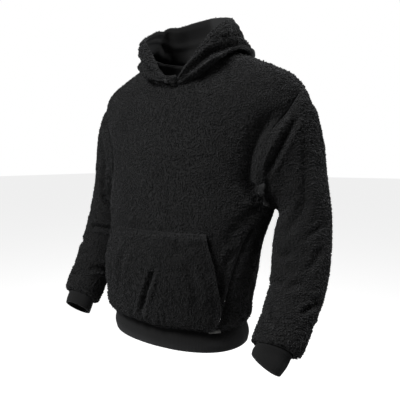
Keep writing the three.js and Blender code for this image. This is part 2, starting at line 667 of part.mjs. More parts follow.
// The blank tab is made from the hem band's own points, moved out.
function hemTab() {
  const points = [];
  const directions = [];
  for (const z of [HEM_TAB.bottom, HEM_TAB.top]) {
    points.push([]);
    directions.push([]);
    for (let j = 0; j <= HEM_TAB.columns; j += 1) {
      const turn = radians(mix(HEM_TAB.from, HEM_TAB.to, j / HEM_TAB.columns));
      const step = radians(ANGLE_STEP);
      const along = bandPoint(turn + step, z).sub(bandPoint(turn - step, z));
      const direction = along.cross(new THREE.Vector3(0, 0, 1)).normalize();
      const stand = HEM_TAB.clearance + HEM_TAB.thickness;
      points[points.length - 1].push(bandPoint(turn, z).addScaledVector(direction, stand));
      directions[directions.length - 1].push(direction);
    }
  }
  return wall(points, directions, HEM_TAB.thickness, false);
}

// The pocket is made from the front's own points, moved out.
function pocket() {
  const surface = (share, z) => {
    const x = share * pocketAt(z).half;
    return new THREE.Vector3(x, bodyY(-1, x, z), z);
  };
  const [bottom, top] = [POCKET[0].z, POCKET[POCKET.length - 1].z];
  const points = [];
  const directions = [];
  for (let i = 0; i <= POCKET_ROWS; i += 1) {
    const z = mix(bottom, top, i / POCKET_ROWS);
    points.push([]);
    directions.push([]);
    for (let j = 0; j <= POCKET_COLUMNS; j += 1) {
      const share = mix(-1, 1, j / POCKET_COLUMNS);
      const across = surface(share + SHARE_STEP / 2, z).sub(surface(share - SHARE_STEP / 2, z));
      const along = surface(share, z + 1).sub(surface(share, z - 1));
      const direction = across.cross(along).normalize();
      if (direction.y > 0) direction.negate();
      const flatter = 1 - POCKET_SIDE_FLAT.share * Math.pow(Math.abs(share), POCKET_SIDE_FLAT.power);
      const stand = POCKET_CLEARANCE + FLEECE_WALL + pocketAt(z).bulge * flatter;
      points[i].push(surface(share, z).addScaledVector(direction, stand));
      directions[i].push(direction);
    }
  }
  return wall(points, directions, FLEECE_WALL, false);
}

const fleece = new THREE.MeshStandardMaterial({ color: 0x191919, roughness: 1, metalness: 0 });
const rib = new THREE.MeshStandardMaterial({ color: 0x151515, roughness: 0.9, metalness: 0 });
const tape = new THREE.MeshStandardMaterial({ color: 0x8c8c8a, roughness: 0.8, metalness: 0 });

const hoodie = new THREE.Group();
function add(name, geometry, material) {
  const mesh = new THREE.Mesh(geometry, material);
  mesh.name = name;
  hoodie.add(mesh);
}

add("front", wall(FRONT.points, FRONT.directions, FLEECE_WALL, false), fleece);
add("back", wall(BACK.points, BACK.directions, FLEECE_WALL, false), fleece);
add("sleeve_left", sleeve(1), fleece);
add("sleeve_right", sleeve(-1), fleece);
add("cuff_left", cuff(1), rib);
add("cuff_right", cuff(-1), rib);
add("hem_band", hemBand(), rib);
add("pocket", pocket(), fleece);
add("hood_left", hoodHalf(1), fleece);
add("hood_right", hoodHalf(-1), fleece);
add("hem_tab", hemTab(), tape);

export default hoodie;
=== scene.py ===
"""Pullover hoodie in black pile fleece, filled out as if worn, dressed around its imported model.

Every table and size here is in millimetres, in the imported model's own frame: +Z up, the front faces -Y and
the wearer's left is +X. MM turns them into Blender's metres when a mesh is made.
"""

from __future__ import annotations

import logging
import math
from collections.abc import Callable
from dataclasses import dataclass
from enum import Enum
from typing import ClassVar

import bpy
import numpy as np
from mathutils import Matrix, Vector


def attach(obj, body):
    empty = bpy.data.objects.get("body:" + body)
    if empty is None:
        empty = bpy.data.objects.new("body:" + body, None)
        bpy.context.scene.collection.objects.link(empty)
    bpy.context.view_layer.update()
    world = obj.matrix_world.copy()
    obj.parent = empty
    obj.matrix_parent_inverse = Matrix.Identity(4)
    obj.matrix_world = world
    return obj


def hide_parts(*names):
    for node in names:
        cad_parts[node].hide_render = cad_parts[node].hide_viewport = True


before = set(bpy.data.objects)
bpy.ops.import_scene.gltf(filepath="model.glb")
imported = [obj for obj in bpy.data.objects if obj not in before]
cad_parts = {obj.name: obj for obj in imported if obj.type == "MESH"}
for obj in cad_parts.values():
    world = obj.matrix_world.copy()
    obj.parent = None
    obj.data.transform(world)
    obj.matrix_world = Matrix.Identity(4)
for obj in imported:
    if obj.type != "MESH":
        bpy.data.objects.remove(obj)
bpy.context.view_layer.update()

LOG = logging.getLogger("hoodie")
MM = 0.001

# Sizes of the cut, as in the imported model
FLEECE_WALL = 4.0
RIB_WALL = 3.0
BAND_TOP_Z = -646.0
UNDERARM_Z = -395.0
TIP_X, TIP_Z = 284.0, -136.0
NECK_HALF, NECK_FRONT_Z, NECK_SIDE_Z, NECK_BACK_Z, NECK_SCOOP = 112.0, -114.0, -34.0, -38.0, 1.3
BODY_CORNER = 2.2
ARCH_START_Z, ARCH_CORNER = -300.0, 2.2
ARMHOLE_DEPTH = 80.0
ARMHOLE_CROWDING = 0.75
NECK_SHARE = 0.42
LEAN_START = 0.62
POCKET_STAND = 4.8
RIGHT_ARM_START_Z, RIGHT_ARM_END_Z, RIGHT_ARM_RAISE, RIGHT_ARM_CLOSER = -380.0, -640.0, 15.0, 7.0
SEAM_CROWDING = math.radians(72)
PILE_ROOT = 3.0
PILE_BACK = 5.0
THINNEST_WALL = 1.2
NORMAL_PASSES = 3
HOOD_LIFT, HOOD_LIFT_RISE, HOOD_LIFT_FADE, HOOD_LIFT_FOOT = 10.5, 0.7, 45.0, 0.35


class Table:
    """A small table with named columns, read at any place between its rows by a curve that never overshoots."""

    def __init__(self, names: tuple[str, ...], rows: list[tuple[float, ...]]) -> None:
        """Stores the rows and works out each column's slopes.

        Args:
            names: the key's name, then each column's.
            rows: one tuple for each row, in rising order of the key.
        """
        data = np.array(rows, float)
        self.places = data[:, 0]
        self.columns = {name: data[:, i] for i, name in enumerate(names) if i}
        self.slopes = {name: self._slopes(values) for name, values in self.columns.items()}

    def _slopes(self, values: np.ndarray) -> np.ndarray:
        """Returns the slope at each row that keeps the curve within its rows."""
        secants = np.diff(values) / np.diff(self.places)
        product = secants[:-1] * secants[1:]
        total = np.where(product > 0, secants[:-1] + secants[1:], 1.0)
        inner = np.where(product > 0, 2 * product / total, 0.0)
        return np.concatenate([secants[:1], inner, secants[-1:]])

    def read(self, name: str, at: np.ndarray | float) -> np.ndarray:
        """Reads one column.

        Args:
            name: the column.
            at: the key's values, kept within the table.

        Returns:
            The column's values there.
        """
        at = np.clip(np.asarray(at, float), self.places[0], self.places[-1])
        i = np.clip(np.searchsorted(self.places, at, side="right") - 1, 0, len(self.places) - 2)
        span = self.places[i + 1] - self.places[i]
        t = (at - self.places[i]) / span
        values, slopes = self.columns[name], self.slopes[name]
        a, b = values[i], values[i + 1]
        slope_a, slope_b = slopes[i] * span, slopes[i + 1] * span
        bend = 3 * (b - a) - 2 * slope_a - slope_b
        twist = 2 * (a - b) + slope_a + slope_b
        return a + t * (slope_a + t * (bend + t * twist))


BODY = Table(("z", "half", "front", "back", "mid"), [
    (-646, 170, 112, 110, -62),
    (-634, 180, 122, 118, -61),
    (-600, 185, 128, 123, -58),
    (-530, 195, 135, 130, -50),
    (-450, 205, 138, 134, -36),
    (-395, 219, 137, 136, -24),
    (-340, 226, 134, 136, -13),
    (-290, 235, 130, 133, -7),
    (-226, 259, 122, 128, 0),
    (-178, 277, 117, 126, 3),
    (-138, 293, 113, 126, 5),
    (-80, 325, 110, 128, 8),
    (30, 360, 108, 130, 8),
])
PANEL_EDGE = Table(("z", "front", "back"), [
    (-646, 54, 126),
    (-605, 59, 121),
    (-530, 63, 117),
    (-450, 71, 109),
    (-410, 83, 97),
    (-395, 90, 90),
    (-388, 84, 83),
    (-370, 76, 76),
    (-340, 65, 69),
    (-290, 61, 63),
    (-254, 60, 62),
    (-226, 62, 63),
    (-178, 70, 70),
    (-138, 72, 72),
])
SHOULDER = Table(("x", "z"), [
    (0, 12),
    (60, -6),
    (112, -34),
    (150, -51),
    (200, -73),
    (250, -100),
    (284, -136),
    (320, -200),
])
SLEEVE = Table(("ring", "out_x", "out_z", "in_x", "in_z", "mid_y", "depth", "lean", "keep"), [
    (1, 298, -156, 226, -398, 0, 82, 0, 0.8),
    (2, 313, -190, 229, -402, 8, 80, 0, 0.5),
    (3, 320, -240, 231, -408, 15, 76, 0, 0.22),
    (4, 325, -296, 231, -415, 18, 71, 0, 0),
    (5, 335, -355, 228, -424, 14, 67, 4, 0),
    (6, 344, -412, 224, -440, 6, 63, 10, 0),
    (7, 349, -468, 223, -478, -10, 60, 18, 0),
    (8, 351, -522, 228, -522, -30, 57, 27, 0),
    (9, 349, -568, 232, -568, -57, 54, 34, 0),
    (10, 342, -606, 232, -606, -86, 52, 39, 0),
    (11, 337, -638, 227, -637, -112, 50, 42, 0),
    (12, 332, -656, 226, -654, -126, 48, 43, 0),
    (13, 316, -662, 238, -663, -133, 37, 43, 0),
])
LEFT_CUFF = Table(("share", "x", "y", "z", "wide", "deep", "lean", "tilt"), [
    (0.0, 276.1, -132.7, -661.9, 36, 33, 43, 0),
    (0.5, 271.5, -142.0, -674.0, 36.5, 33, 33, 13),
    (1.0, 266.0, -149.0, -687.0, 34, 31, 22, 26),
])
RIGHT_CUFF = Table(("share", "x", "y", "z", "wide", "deep", "lean", "tilt"), [
    (0.0, 276.1, -132.7, -661.9, 36, 33, 43, 0),
    (0.5, 272.5, -143.0, -673.5, 37, 33, 43, 0),
    (1.0, 268.5, -153.0, -685.5, 36, 32, 43, 0),
])
BAND = Table(("z", "half", "front", "back", "mid"), [
    (-700, 175, 113, 110, -62),
    (-684, 178, 116, 113, -62),
    (-662, 177, 116, 113, -62),
    (-646.3, 170, 112, 110, -62),
])
POCKET = Table(("z", "half", "bulge"), [
    (-636, 142, 0),
    (-618, 150, 5),
    (-596, 154, 8),
    (-560, 151, 11),
    (-510, 144, 10),
    (-462, 131, 5),
    (-440, 127, 0),
])
HOOD_PARTS = ("under", "roll", "dip", "brow", "rim")
HOOD = Table(
    ("at", "roll_out", "roll_up", "dip_out", "dip_up", "brow_out", "brow_up", "rim_out", "rim_up"),
    [
        (0, 4, 4, 5, 10, 5, 16, 2, 22),
        (25, 18, 8, 14, 24, 15, 38, 4, 50),
        (50, 25, 14, 22, 36, 26, 61, 13, 79),
        (68, 28, 12, 22, 31, 21, 59, 6, 77),
        (90, 34, 4, 20, 24, 9, 52, -6, 72),
        (120, 39, -2, 23, 18, 7, 50, -14, 92),
        (150, 44, -5, 27, 18, 16, 60, -10, 108),
        (180, 48, -8, 32, 20, 26, 70, 2, 120),
    ],
)
UNDER_OUT, UNDER_UP, UNDER_RISE = 0.6, 0.3, 4.0


def mix(a: np.ndarray | float, b: np.ndarray | float, share: np.ndarray | float) -> np.ndarray:
    """Returns the value a share of the way from a to b."""
    return a + (b - a) * np.asarray(share, float)


def smooth(start: float, end: float, at: np.ndarray | float) -> np.ndarray:
    """Returns 0 before start, 1 after end and a smooth rise between."""
    t = np.clip((np.asarray(at, float) - start) / (end - start), 0, 1)
    return t * t * (3 - 2 * t)


def rounded(share: np.ndarray, corner: float) -> np.ndarray:
    """Returns 1 at the middle and 0 at the end, round a corner of that squareness."""
    return np.maximum(1 - np.abs(share) ** corner, 0) ** (1 / corner)


def ring_x(half: np.ndarray, turn: np.ndarray) -> np.ndarray:
    """Returns how far across a squared ring a point lies at an angle round it."""
    across = np.sin(turn)
    return half * np.sign(across) * np.abs(across) ** (2 / BODY_CORNER)


def stack(x: np.ndarray, y: np.ndarray, z: np.ndarray) -> np.ndarray:
    """Returns points from their coordinates."""
    return np.stack(np.broadcast_arrays(x, y, z), axis=-1).astype(float)


def unit(vectors: np.ndarray) -> np.ndarray:
    """Returns the vectors at length 1."""
    return vectors / np.maximum(np.linalg.norm(vectors, axis=-1, keepdims=True), 1e-12)


def body_y(side: np.ndarray | int, x: np.ndarray, z: np.ndarray) -> np.ndarray:
    """The body's surface seen from the front or the back.

    Args:
        side: -1 for the front and 1 for the back.
        x: how far across.
        z: the height.

    Returns:
        How far back the surface lies.
    """
    reach = np.where(np.asarray(side) < 0, BODY.read("front", z), BODY.read("back", z))
    ridge = SHOULDER.read("z", np.abs(x))
    climb = np.clip((z - ARCH_START_Z) / (ridge - ARCH_START_Z), 0, 1)
    across = np.clip(np.abs(x) / BODY.read("half", z), 0, 1)
    return BODY.read("mid", z) + side * reach * rounded(across, BODY_CORNER) * rounded(climb, ARCH_CORNER)


def neck_point(angle: np.ndarray) -> np.ndarray:
    """Returns the neck seam's points at angles round it from the middle of the front, in degrees."""
    turn = np.radians(angle)
    x = NECK_HALF * np.sin(turn)
    ahead = np.cos(turn)
    dip = (NECK_FRONT_Z - NECK_SIDE_Z) * np.maximum(ahead, 0) ** NECK_SCOOP
    rear = (NECK_BACK_Z - NECK_SIDE_Z) * np.maximum(-ahead, 0)
    z = NECK_SIDE_Z + dip + rear
    return stack(x, body_y(np.where(ahead >= 0, -1, 1), x, z), z)


def panel_top(side: int, share: np.ndarray) -> np.ndarray:
    """Returns where each thread of a body panel ends, on the neck seam or the shoulder line."""
    far = np.abs(share)
    angle = 90 * np.clip(far / NECK_SHARE, 0, 1)
    neck = neck_point(angle if side < 0 else 180 - angle)
    x = mix(NECK_HALF, TIP_X, np.clip((far - NECK_SHARE) / (1 - NECK_SHARE), 0, 1))
    z = SHOULDER.read("z", x)
    top = np.where((far <= NECK_SHARE)[..., None], neck, stack(x, BODY.read("mid", z), z))
    top[..., 0] *= np.sign(share)
    return top


def panel_point(side: int, share: np.ndarray, climb: np.ndarray) -> np.ndarray:
    """A body panel's surface.

    Args:
        side: -1 for the front and 1 for the back.
        share: the place across, from -1 to 1.
        climb: the place up, from 0 at the hem to 1 on top.

    Returns:
        The points, in millimetres.
    """
    share, climb = np.broadcast_arrays(np.asarray(share, float), np.asarray(climb, float))
    top = panel_top(side, share)
    side_z = mix(BAND_TOP_Z, TIP_Z, climb)
    widest = np.radians(PANEL_EDGE.read("front" if side < 0 else "back", side_z))
    turn = widest * share
    z = mix(BAND_TOP_Z, top[..., 2], climb)
    ring = ring_x(BODY.read("half", z), turn)
    edge = ring_x(BODY.read("half", side_z), widest)
    x = mix(ring, edge * top[..., 0] / TIP_X, smooth(LEAN_START, 1, climb))
    facing = np.where(np.cos(turn) >= 0, side, -side)
    points = stack(x, body_y(facing, x, z), z)
    return np.where((climb >= 1)[..., None], top, points)


def armhole_climb(turn: np.ndarray) -> np.ndarray:
    """Returns how far up the panel's edge the armhole's point lies, at an angle round it from the tip."""
    underarm = (UNDERARM_Z - BAND_TOP_Z) / (TIP_Z - BAND_TOP_Z)
    even = np.abs(1 - turn / math.pi)
    return mix(underarm, 1, mix(even, (1 - np.cos(even * math.pi)) / 2, ARMHOLE_CROWDING))


def armhole_point(turn: np.ndarray) -> np.ndarray:
    """Returns the armhole's seam: the tip at 0, then the front, the underarm at pi and the back."""
    climb = armhole_climb(turn)
    ones = np.ones_like(climb)
    front, back = panel_point(-1, ones, climb), panel_point(1, ones, climb)
    return np.where((turn <= math.pi)[..., None], front, back)


def sleeve_point(turn: np.ndarray, ring: np.ndarray) -> np.ndarray:
    """The left sleeve's surface.

    Args:
        turn: the angle round it, as on the armhole, in radians.
        ring: the place down it, from 0 at the armhole to 13 at the cuff.

    Returns:
        The points, in millimetres.
    """
    turn, ring = np.broadcast_arrays(np.mod(np.asarray(turn, float), 2 * math.pi), np.asarray(ring, float))
    seam = armhole_point(turn)
    tip, under = armhole_point(np.array(0.0)), armhole_point(np.array(math.pi))
    first = {"out_x": tip[0], "out_z": tip[2], "in_x": under[0], "in_z": under[2], "depth": ARMHOLE_DEPTH,
             "lean": 0.0, "keep": 1.0, "out_y": tip[1], "in_y": under[1]}

    def at(name: str) -> np.ndarray:
        column = "mid_y" if name in ("out_y", "in_y") else name
        return mix(first[name], SLEEVE.read(column, np.maximum(ring, 1)), np.clip(ring, 0, 1))

    outer = stack(at("out_x"), at("out_y"), at("out_z"))
    inner = stack(at("in_x"), at("in_y"), at("in_z"))
    centre, reach = (outer + inner) / 2, (outer - inner) / 2
    lean = np.radians(at("lean"))
    forward = stack(np.zeros_like(lean), -np.cos(lean), np.sin(lean))
    plain_centre, plain_reach = (tip + under) / 2, (tip - under) / 2
    cos, sin = np.cos(turn)[..., None], np.sin(turn)[..., None]
    plain = plain_centre + plain_reach * cos + np.array([0.0, -ARMHOLE_DEPTH, 0.0]) * sin
    spare = (seam - plain) * at("keep")[..., None]
    return centre + reach * cos + forward * at("depth")[..., None] * sin + spare


def cuff_point(side: int, turn: np.ndarray, share: np.ndarray) -> np.ndarray:
    """A cuff's surface, in the left arm's place.

    Args:
        side: 1 for the wearer's left cuff and -1 for the right.
        turn: the angle round it, in radians.
        share: the place down it, from 0 at the sleeve to 1 at its open end.

    Returns:
        The points, in millimetres.
    """
    table = LEFT_CUFF if side > 0 else RIGHT_CUFF
    turn, share = np.broadcast_arrays(np.asarray(turn, float), np.asarray(share, float))
    centre = stack(*(table.read(name, share) for name in ("x", "y", "z")))
    lean, tilt = np.radians(table.read("lean", share)), np.radians(table.read("tilt", share))
    forward = stack(0.0, -np.cos(lean), np.sin(lean))
    outer = stack(np.cos(tilt), -np.sin(tilt) * np.sin(lean), -np.sin(tilt) * np.cos(lean))
    across = outer * (table.read("wide", share) * np.cos(turn))[..., None]
    return centre + across + forward * (table.read("deep", share) * np.sin(turn))[..., None]


def on_arm(side: int, points: np.ndarray) -> np.ndarray:
    """Puts points of the left sleeve or cuff on one side, where the right arm is bent a little more.

    Args:
        side: 1 for the wearer's left and -1 for the right.
        points: points of the left one.

    Returns:
        The points where that side's piece has them.
    """
    if side > 0:
        return points
    bent = smooth(-RIGHT_ARM_START_Z, -RIGHT_ARM_END_Z, -points[..., 2])
    moved = points * np.array([-1.0, 1.0, 1.0])
    moved[..., 0] += bent * RIGHT_ARM_CLOSER
    moved[..., 2] += bent * RIGHT_ARM_RAISE
    return moved


def band_point(turn: np.ndarray, z: np.ndarray) -> np.ndarray:
    """Returns the hem band's surface at an angle round it from the middle of the front, and a height."""
    turn, z = np.broadcast_arrays(np.asarray(turn, float), np.asarray(z, float))
    half = BAND.read("half", z)
    x = ring_x(half, turn)
    ahead = np.cos(turn) >= 0
    reach = np.where(ahead, -BAND.read("front", z), BAND.read("back", z))
    return stack(x, BAND.read("mid", z) + reach * rounded(np.clip(x / half, -1, 1), BODY_CORNER), z)


def pocket_point(share: np.ndarray, z: np.ndarray) -> np.ndarray:
    """Returns the front's surface under the pocket, at a share of the pocket's width and a height."""
    share, z = np.broadcast_arrays(np.asarray(share, float), np.asarray(z, float))
    x = share * POCKET.read("half", z)
    return stack(x, body_y(-1, x, z), z)


def hood_point(side: int, angle: np.ndarray, share: np.ndarray) -> np.ndarray:
    """One half of the hood's surface.

    Args:
        side: 1 for the wearer's left half and -1 for the right, which laps over it in front.
        angle: degrees round the neck from the middle of the front; below 0 it is the lap past the middle.
        share: the place up, from 0 at the neck seam to 1 at the rim.

    Returns:
        The points, in millimetres.
    """
    angle, share = np.broadcast_arrays(np.asarray(angle, float), np.asarray(share, float))
    far = np.maximum(angle, 0)
    pairs = [(np.zeros_like(far), np.zeros_like(far))]
    roll = HOOD.read("roll_out", far), HOOD.read("roll_up", far)
    pairs.append((roll[0] * UNDER_OUT, roll[1] * UNDER_UP + UNDER_RISE))
    pairs.append(roll)
    for part in HOOD_PARTS[2:]:
        pairs.append((HOOD.read(part + "_out", far), HOOD.read(part + "_up", far)))
    outs, ups = (np.stack([p[i] for p in pairs]) for i in (0, 1))
    last = len(pairs) - 1
    place = np.clip(share, 0, 1) * last
    i = np.clip(place.astype(int), 0, last - 1)
    t = place - i

    def curve(values: np.ndarray) -> np.ndarray:
        slopes = np.gradient(values, axis=0)
        pick = lambda table, k: np.take_along_axis(table, k[None], axis=0)[0]
        a, b = pick(values, i), pick(values, i + 1)
        slope_a, slope_b = pick(slopes, i), pick(slopes, i + 1)
        return a + t * (slope_a + t * (3 * (b - a) - 2 * slope_a - slope_b + t * (2 * (a - b) + slope_a + slope_b)))

    out, up = curve(outs), curve(ups)
    if side < 0:
        lift = HOOD_LIFT * (1 - smooth(0, HOOD_LIFT_FADE, far)) * mix(HOOD_LIFT_FOOT, 1, smooth(0, 0.3, share))
        out, up = out + lift, up + lift * HOOD_LIFT_RISE
    turn = np.radians(angle)
    points = neck_point(angle) + stack(np.sin(turn) * out, -np.cos(turn) * out, up)
    points[..., 0] *= side
    return points


def lumps(points: np.ndarray, size: float, seed: int) -> np.ndarray:
    """Smooth random lumps in space.

    Args:
        points: where to read them, in millimetres.
        size: how far apart they lie.
        seed: which field of lumps.

    Returns:
        A value from about -1 to 1 at each point.
    """
    field_size = 32
    field_values = np.random.default_rng(seed).uniform(-1, 1, (field_size,) * 3)
    scaled = points / size
    base = np.floor(scaled).astype(int)
    t = scaled - base
    t = t * t * (3 - 2 * t)
    total = np.zeros(points.shape[:-1])
    for dx in (0, 1):
        for dy in (0, 1):
            for dz in (0, 1):
                corner = (base + np.array([dx, dy, dz])) % field_size
                weight = (
                    np.where(dx, t[..., 0], 1 - t[..., 0])
                    * np.where(dy, t[..., 1], 1 - t[..., 1])
                    * np.where(dz, t[..., 2], 1 - t[..., 2])
                )
                total += weight * field_values[corner[..., 0], corner[..., 1], corner[..., 2]]
    return total


@dataclass(frozen=True)
class Crease:
    """One listed fold: a soft trough, with a lip along each side of it.

    Attributes:
        path: its points, in the piece's own two values.
        depth: how deep the trough is, or how high where it is negative.
        width: how far it reaches to each side.
        lip: the lips' height as a share of the depth.
    """

    path: tuple[tuple[float, float], ...]
    depth: float
    width: float
    lip: float = 0.35

    def shift(self, points: np.ndarray, surface: Callable[[np.ndarray, np.ndarray], np.ndarray]) -> np.ndarray:
        """Works out how far the crease moves each point along its normal.

        Args:
            points: the piece's points, in millimetres.
            surface: the piece's surface as a function of its two values.

        Returns:
            The shift at each point, in millimetres.
        """
        steps = 14
        knots = np.array(self.path, float)
        at = np.linspace(0, len(knots) - 1, steps * (len(knots) - 1) + 1)
        u, v = (np.interp(at, np.arange(len(knots)), knots[:, k]) for k in (0, 1))
        line = surface(u, v)
        flat = points.reshape(-1, 3)
        reach = self.width * 4.5
        low, high = line.min(axis=0) - reach, line.max(axis=0) + reach
        near = np.flatnonzero(((flat > low) & (flat < high)).all(axis=1))
        shift = np.zeros(len(flat))
        if len(near):
            gaps = np.linalg.norm(flat[near][:, None] - line[None], axis=2)
            nearest = gaps.argmin(axis=1)
            gap = gaps[np.arange(len(near)), nearest] / self.width
            along = nearest / (len(line) - 1)
            taper = smooth(0, 0.25, along) * smooth(0, 0.25, 1 - along)
            trough = -np.exp(-(gap ** 2))
            lips = self.lip * np.exp(-((gap - 1.9) ** 2) / 0.6)
            shift[near] = self.depth * taper * (trough + lips)
        return shift.reshape(points.shape[:-1])


def normals_of(points: np.ndarray, sign: int, closed: bool) -> np.ndarray:
    """Outward directions of a grid of points.

    Args:
        points: rows of points.
        sign: 1 where the columns crossed with the rows point outwards, and -1 where they point inwards.
        closed: whether the last column meets the first.

    Returns:
        A direction for each point.
    """
    if closed:
        across = np.roll(points, -1, axis=1) - np.roll(points, 1, axis=1)
    else:
        across = np.gradient(points, axis=1)
    along = np.gradient(points, axis=0)
    normals = unit(sign * np.cross(across, along))
    for _ in range(NORMAL_PASSES):
        rows = np.concatenate([normals[:1], normals, normals[-1:]])
        normals = rows[:-2] + 2 * rows[1:-1] + rows[2:]
        ends = (normals[:, -1:], normals[:, :1]) if closed else (normals[:, :1], normals[:, -1:])
        columns = np.concatenate([ends[0], normals, ends[1]], axis=1)
        normals = unit(columns[:, :-2] + 2 * columns[:, 1:-1] + columns[:, 2:])
    return normals


def mesh_object(name: str, points: np.ndarray, faces: np.ndarray, uvs: np.ndarray | None = None) -> bpy.types.Object:
    """Makes a smooth-shaded mesh object.

    Args:
        name: the object's name.
        points: its vertices, in millimetres.
        faces: rows of four or three vertex numbers.
        uvs: a pair for each vertex, or None.

    Returns:
        The object, at the origin.
    """
    sides = faces.shape[1]
    mesh = bpy.data.meshes.new(name)
    mesh.vertices.add(len(points))
    mesh.vertices.foreach_set("co", (points * MM).ravel())
    mesh.loops.add(faces.size)
    mesh.loops.foreach_set("vertex_index", faces.ravel().astype(np.int32))
    mesh.polygons.add(len(faces))
    mesh.polygons.foreach_set("loop_start", np.arange(0, faces.size, sides, dtype=np.int32))
    mesh.update(calc_edges=True)
    mesh.validate()
    mesh.shade_smooth()
    if uvs is not None:
        layer = mesh.uv_layers.new(name="cut")
        layer.data.foreach_set("uv", uvs[faces.ravel()].ravel())
    piece = bpy.data.objects.new(name, mesh)
    bpy.context.scene.collection.objects.link(piece)
    return piece


def grid_faces(rows: int, columns: int, closed: bool) -> np.ndarray:
    """Returns the faces of a grid of points, each as four numbers."""
    i, j = np.meshgrid(np.arange(rows - 1), np.arange(columns if closed else columns - 1), indexing="ij")
    after = (j + 1) % columns
    return np.stack([i * columns + j, i * columns + after, (i + 1) * columns + after, (i + 1) * columns + j], -1).reshape(-1, 4)


@dataclass
class Cloth:
    """A wall of cloth: an outer grid of points, and the inner one behind it.

    Attributes:
        name: the piece's name.
        outer: rows of outer points, in millimetres.
        sign: which way the grid's normals are turned, as in normals_of.
        closed: whether the last column meets the first.
        inner: rows of inner points, in millimetres.
    """

    name: str
    outer: np.ndarray
    inner: np.ndarray
    sign: int
    closed: bool = False

    def shell(self) -> bpy.types.Object:
        """Returns the closed wall as an object whose second material is its inner face."""
        rows, columns = self.outer.shape[:2]
        count = rows * columns
        face = grid_faces(rows, columns, self.closed)
        parts = [face, face[:, ::-1] + count]
        line = np.arange(columns + 1 if self.closed else columns) % columns
        for start, turned in ((0, False), ((rows - 1) * columns, True)):
            a, b = start + line[:-1], start + line[1:]
            rim = np.stack([b, a, a + count, b + count], -1)
            parts.append(rim[:, ::-1] if turned else rim)
        if not self.closed:
            edge = np.arange(rows) * columns
            for shift, turned in ((0, False), (columns - 1, True)):
                a, b = edge[:-1] + shift, edge[1:] + shift
                rim = np.stack([a, b, b + count, a + count], -1)
                parts.append(rim[:, ::-1] if turned else rim)
        faces = np.concatenate(parts)
        if self.sign < 0:
            faces = faces[:, ::-1]
        u, v = np.meshgrid(np.linspace(0, 1, columns), np.linspace(0, 1, rows))
        uv = np.stack([u, v], -1).reshape(-1, 2)
        points = np.concatenate([self.outer.reshape(-1, 3), self.inner.reshape(-1, 3)])
        piece = mesh_object(self.name, points, faces, np.concatenate([uv, uv]))
        layers = np.zeros(len(faces), np.int32)
        layers[len(face): 2 * len(face)] = 1
        piece.data.polygons.foreach_set("material_index", layers)
        return piece

    def skin(self, keep: np.ndarray) -> bpy.types.Object:
        """The outer face alone, for pile to grow on.

        Args:
            keep: how much pile each point has, from 0 to 1.

        Returns:
            The open sheet, with that share as an attribute.
        """
        rows, columns = self.outer.shape[:2]
        faces = grid_faces(rows, columns, self.closed)
        if self.sign < 0:
            faces = faces[:, ::-1]
        skin = mesh_object(self.name + "_skin", self.outer.reshape(-1, 3), faces)
        share = skin.data.attributes.new("pile", "FLOAT", "POINT")
        share.data.foreach_set("value", np.broadcast_to(keep, (rows, columns)).ravel().astype(np.float32))
        return skin


class Slot(Enum):
    """Names for the hoodie's kinds of material."""

    FLEECE = "fleece"
    RIB = "rib"
    TAPE = "tape"


class Nodes:
    """Small helpers that add and join nodes in one tree."""

    def __init__(self, tree: bpy.types.NodeTree) -> None:
        """Keeps the tree."""
        self.tree = tree

    def add(self, kind: str, **settings: object) -> bpy.types.Node:
        """Adds a node.

        Args:
            kind: its Blender type.
            settings: properties to set on it.

        Returns:
            The node.
        """
        node = self.tree.nodes.new(kind)
        for name, value in settings.items():
            setattr(node, name, value)
        return node

    def join(self, output: bpy.types.NodeSocket, entry: bpy.types.NodeSocket) -> None:
        """Links one socket to another."""
        self.tree.links.new(output, entry)


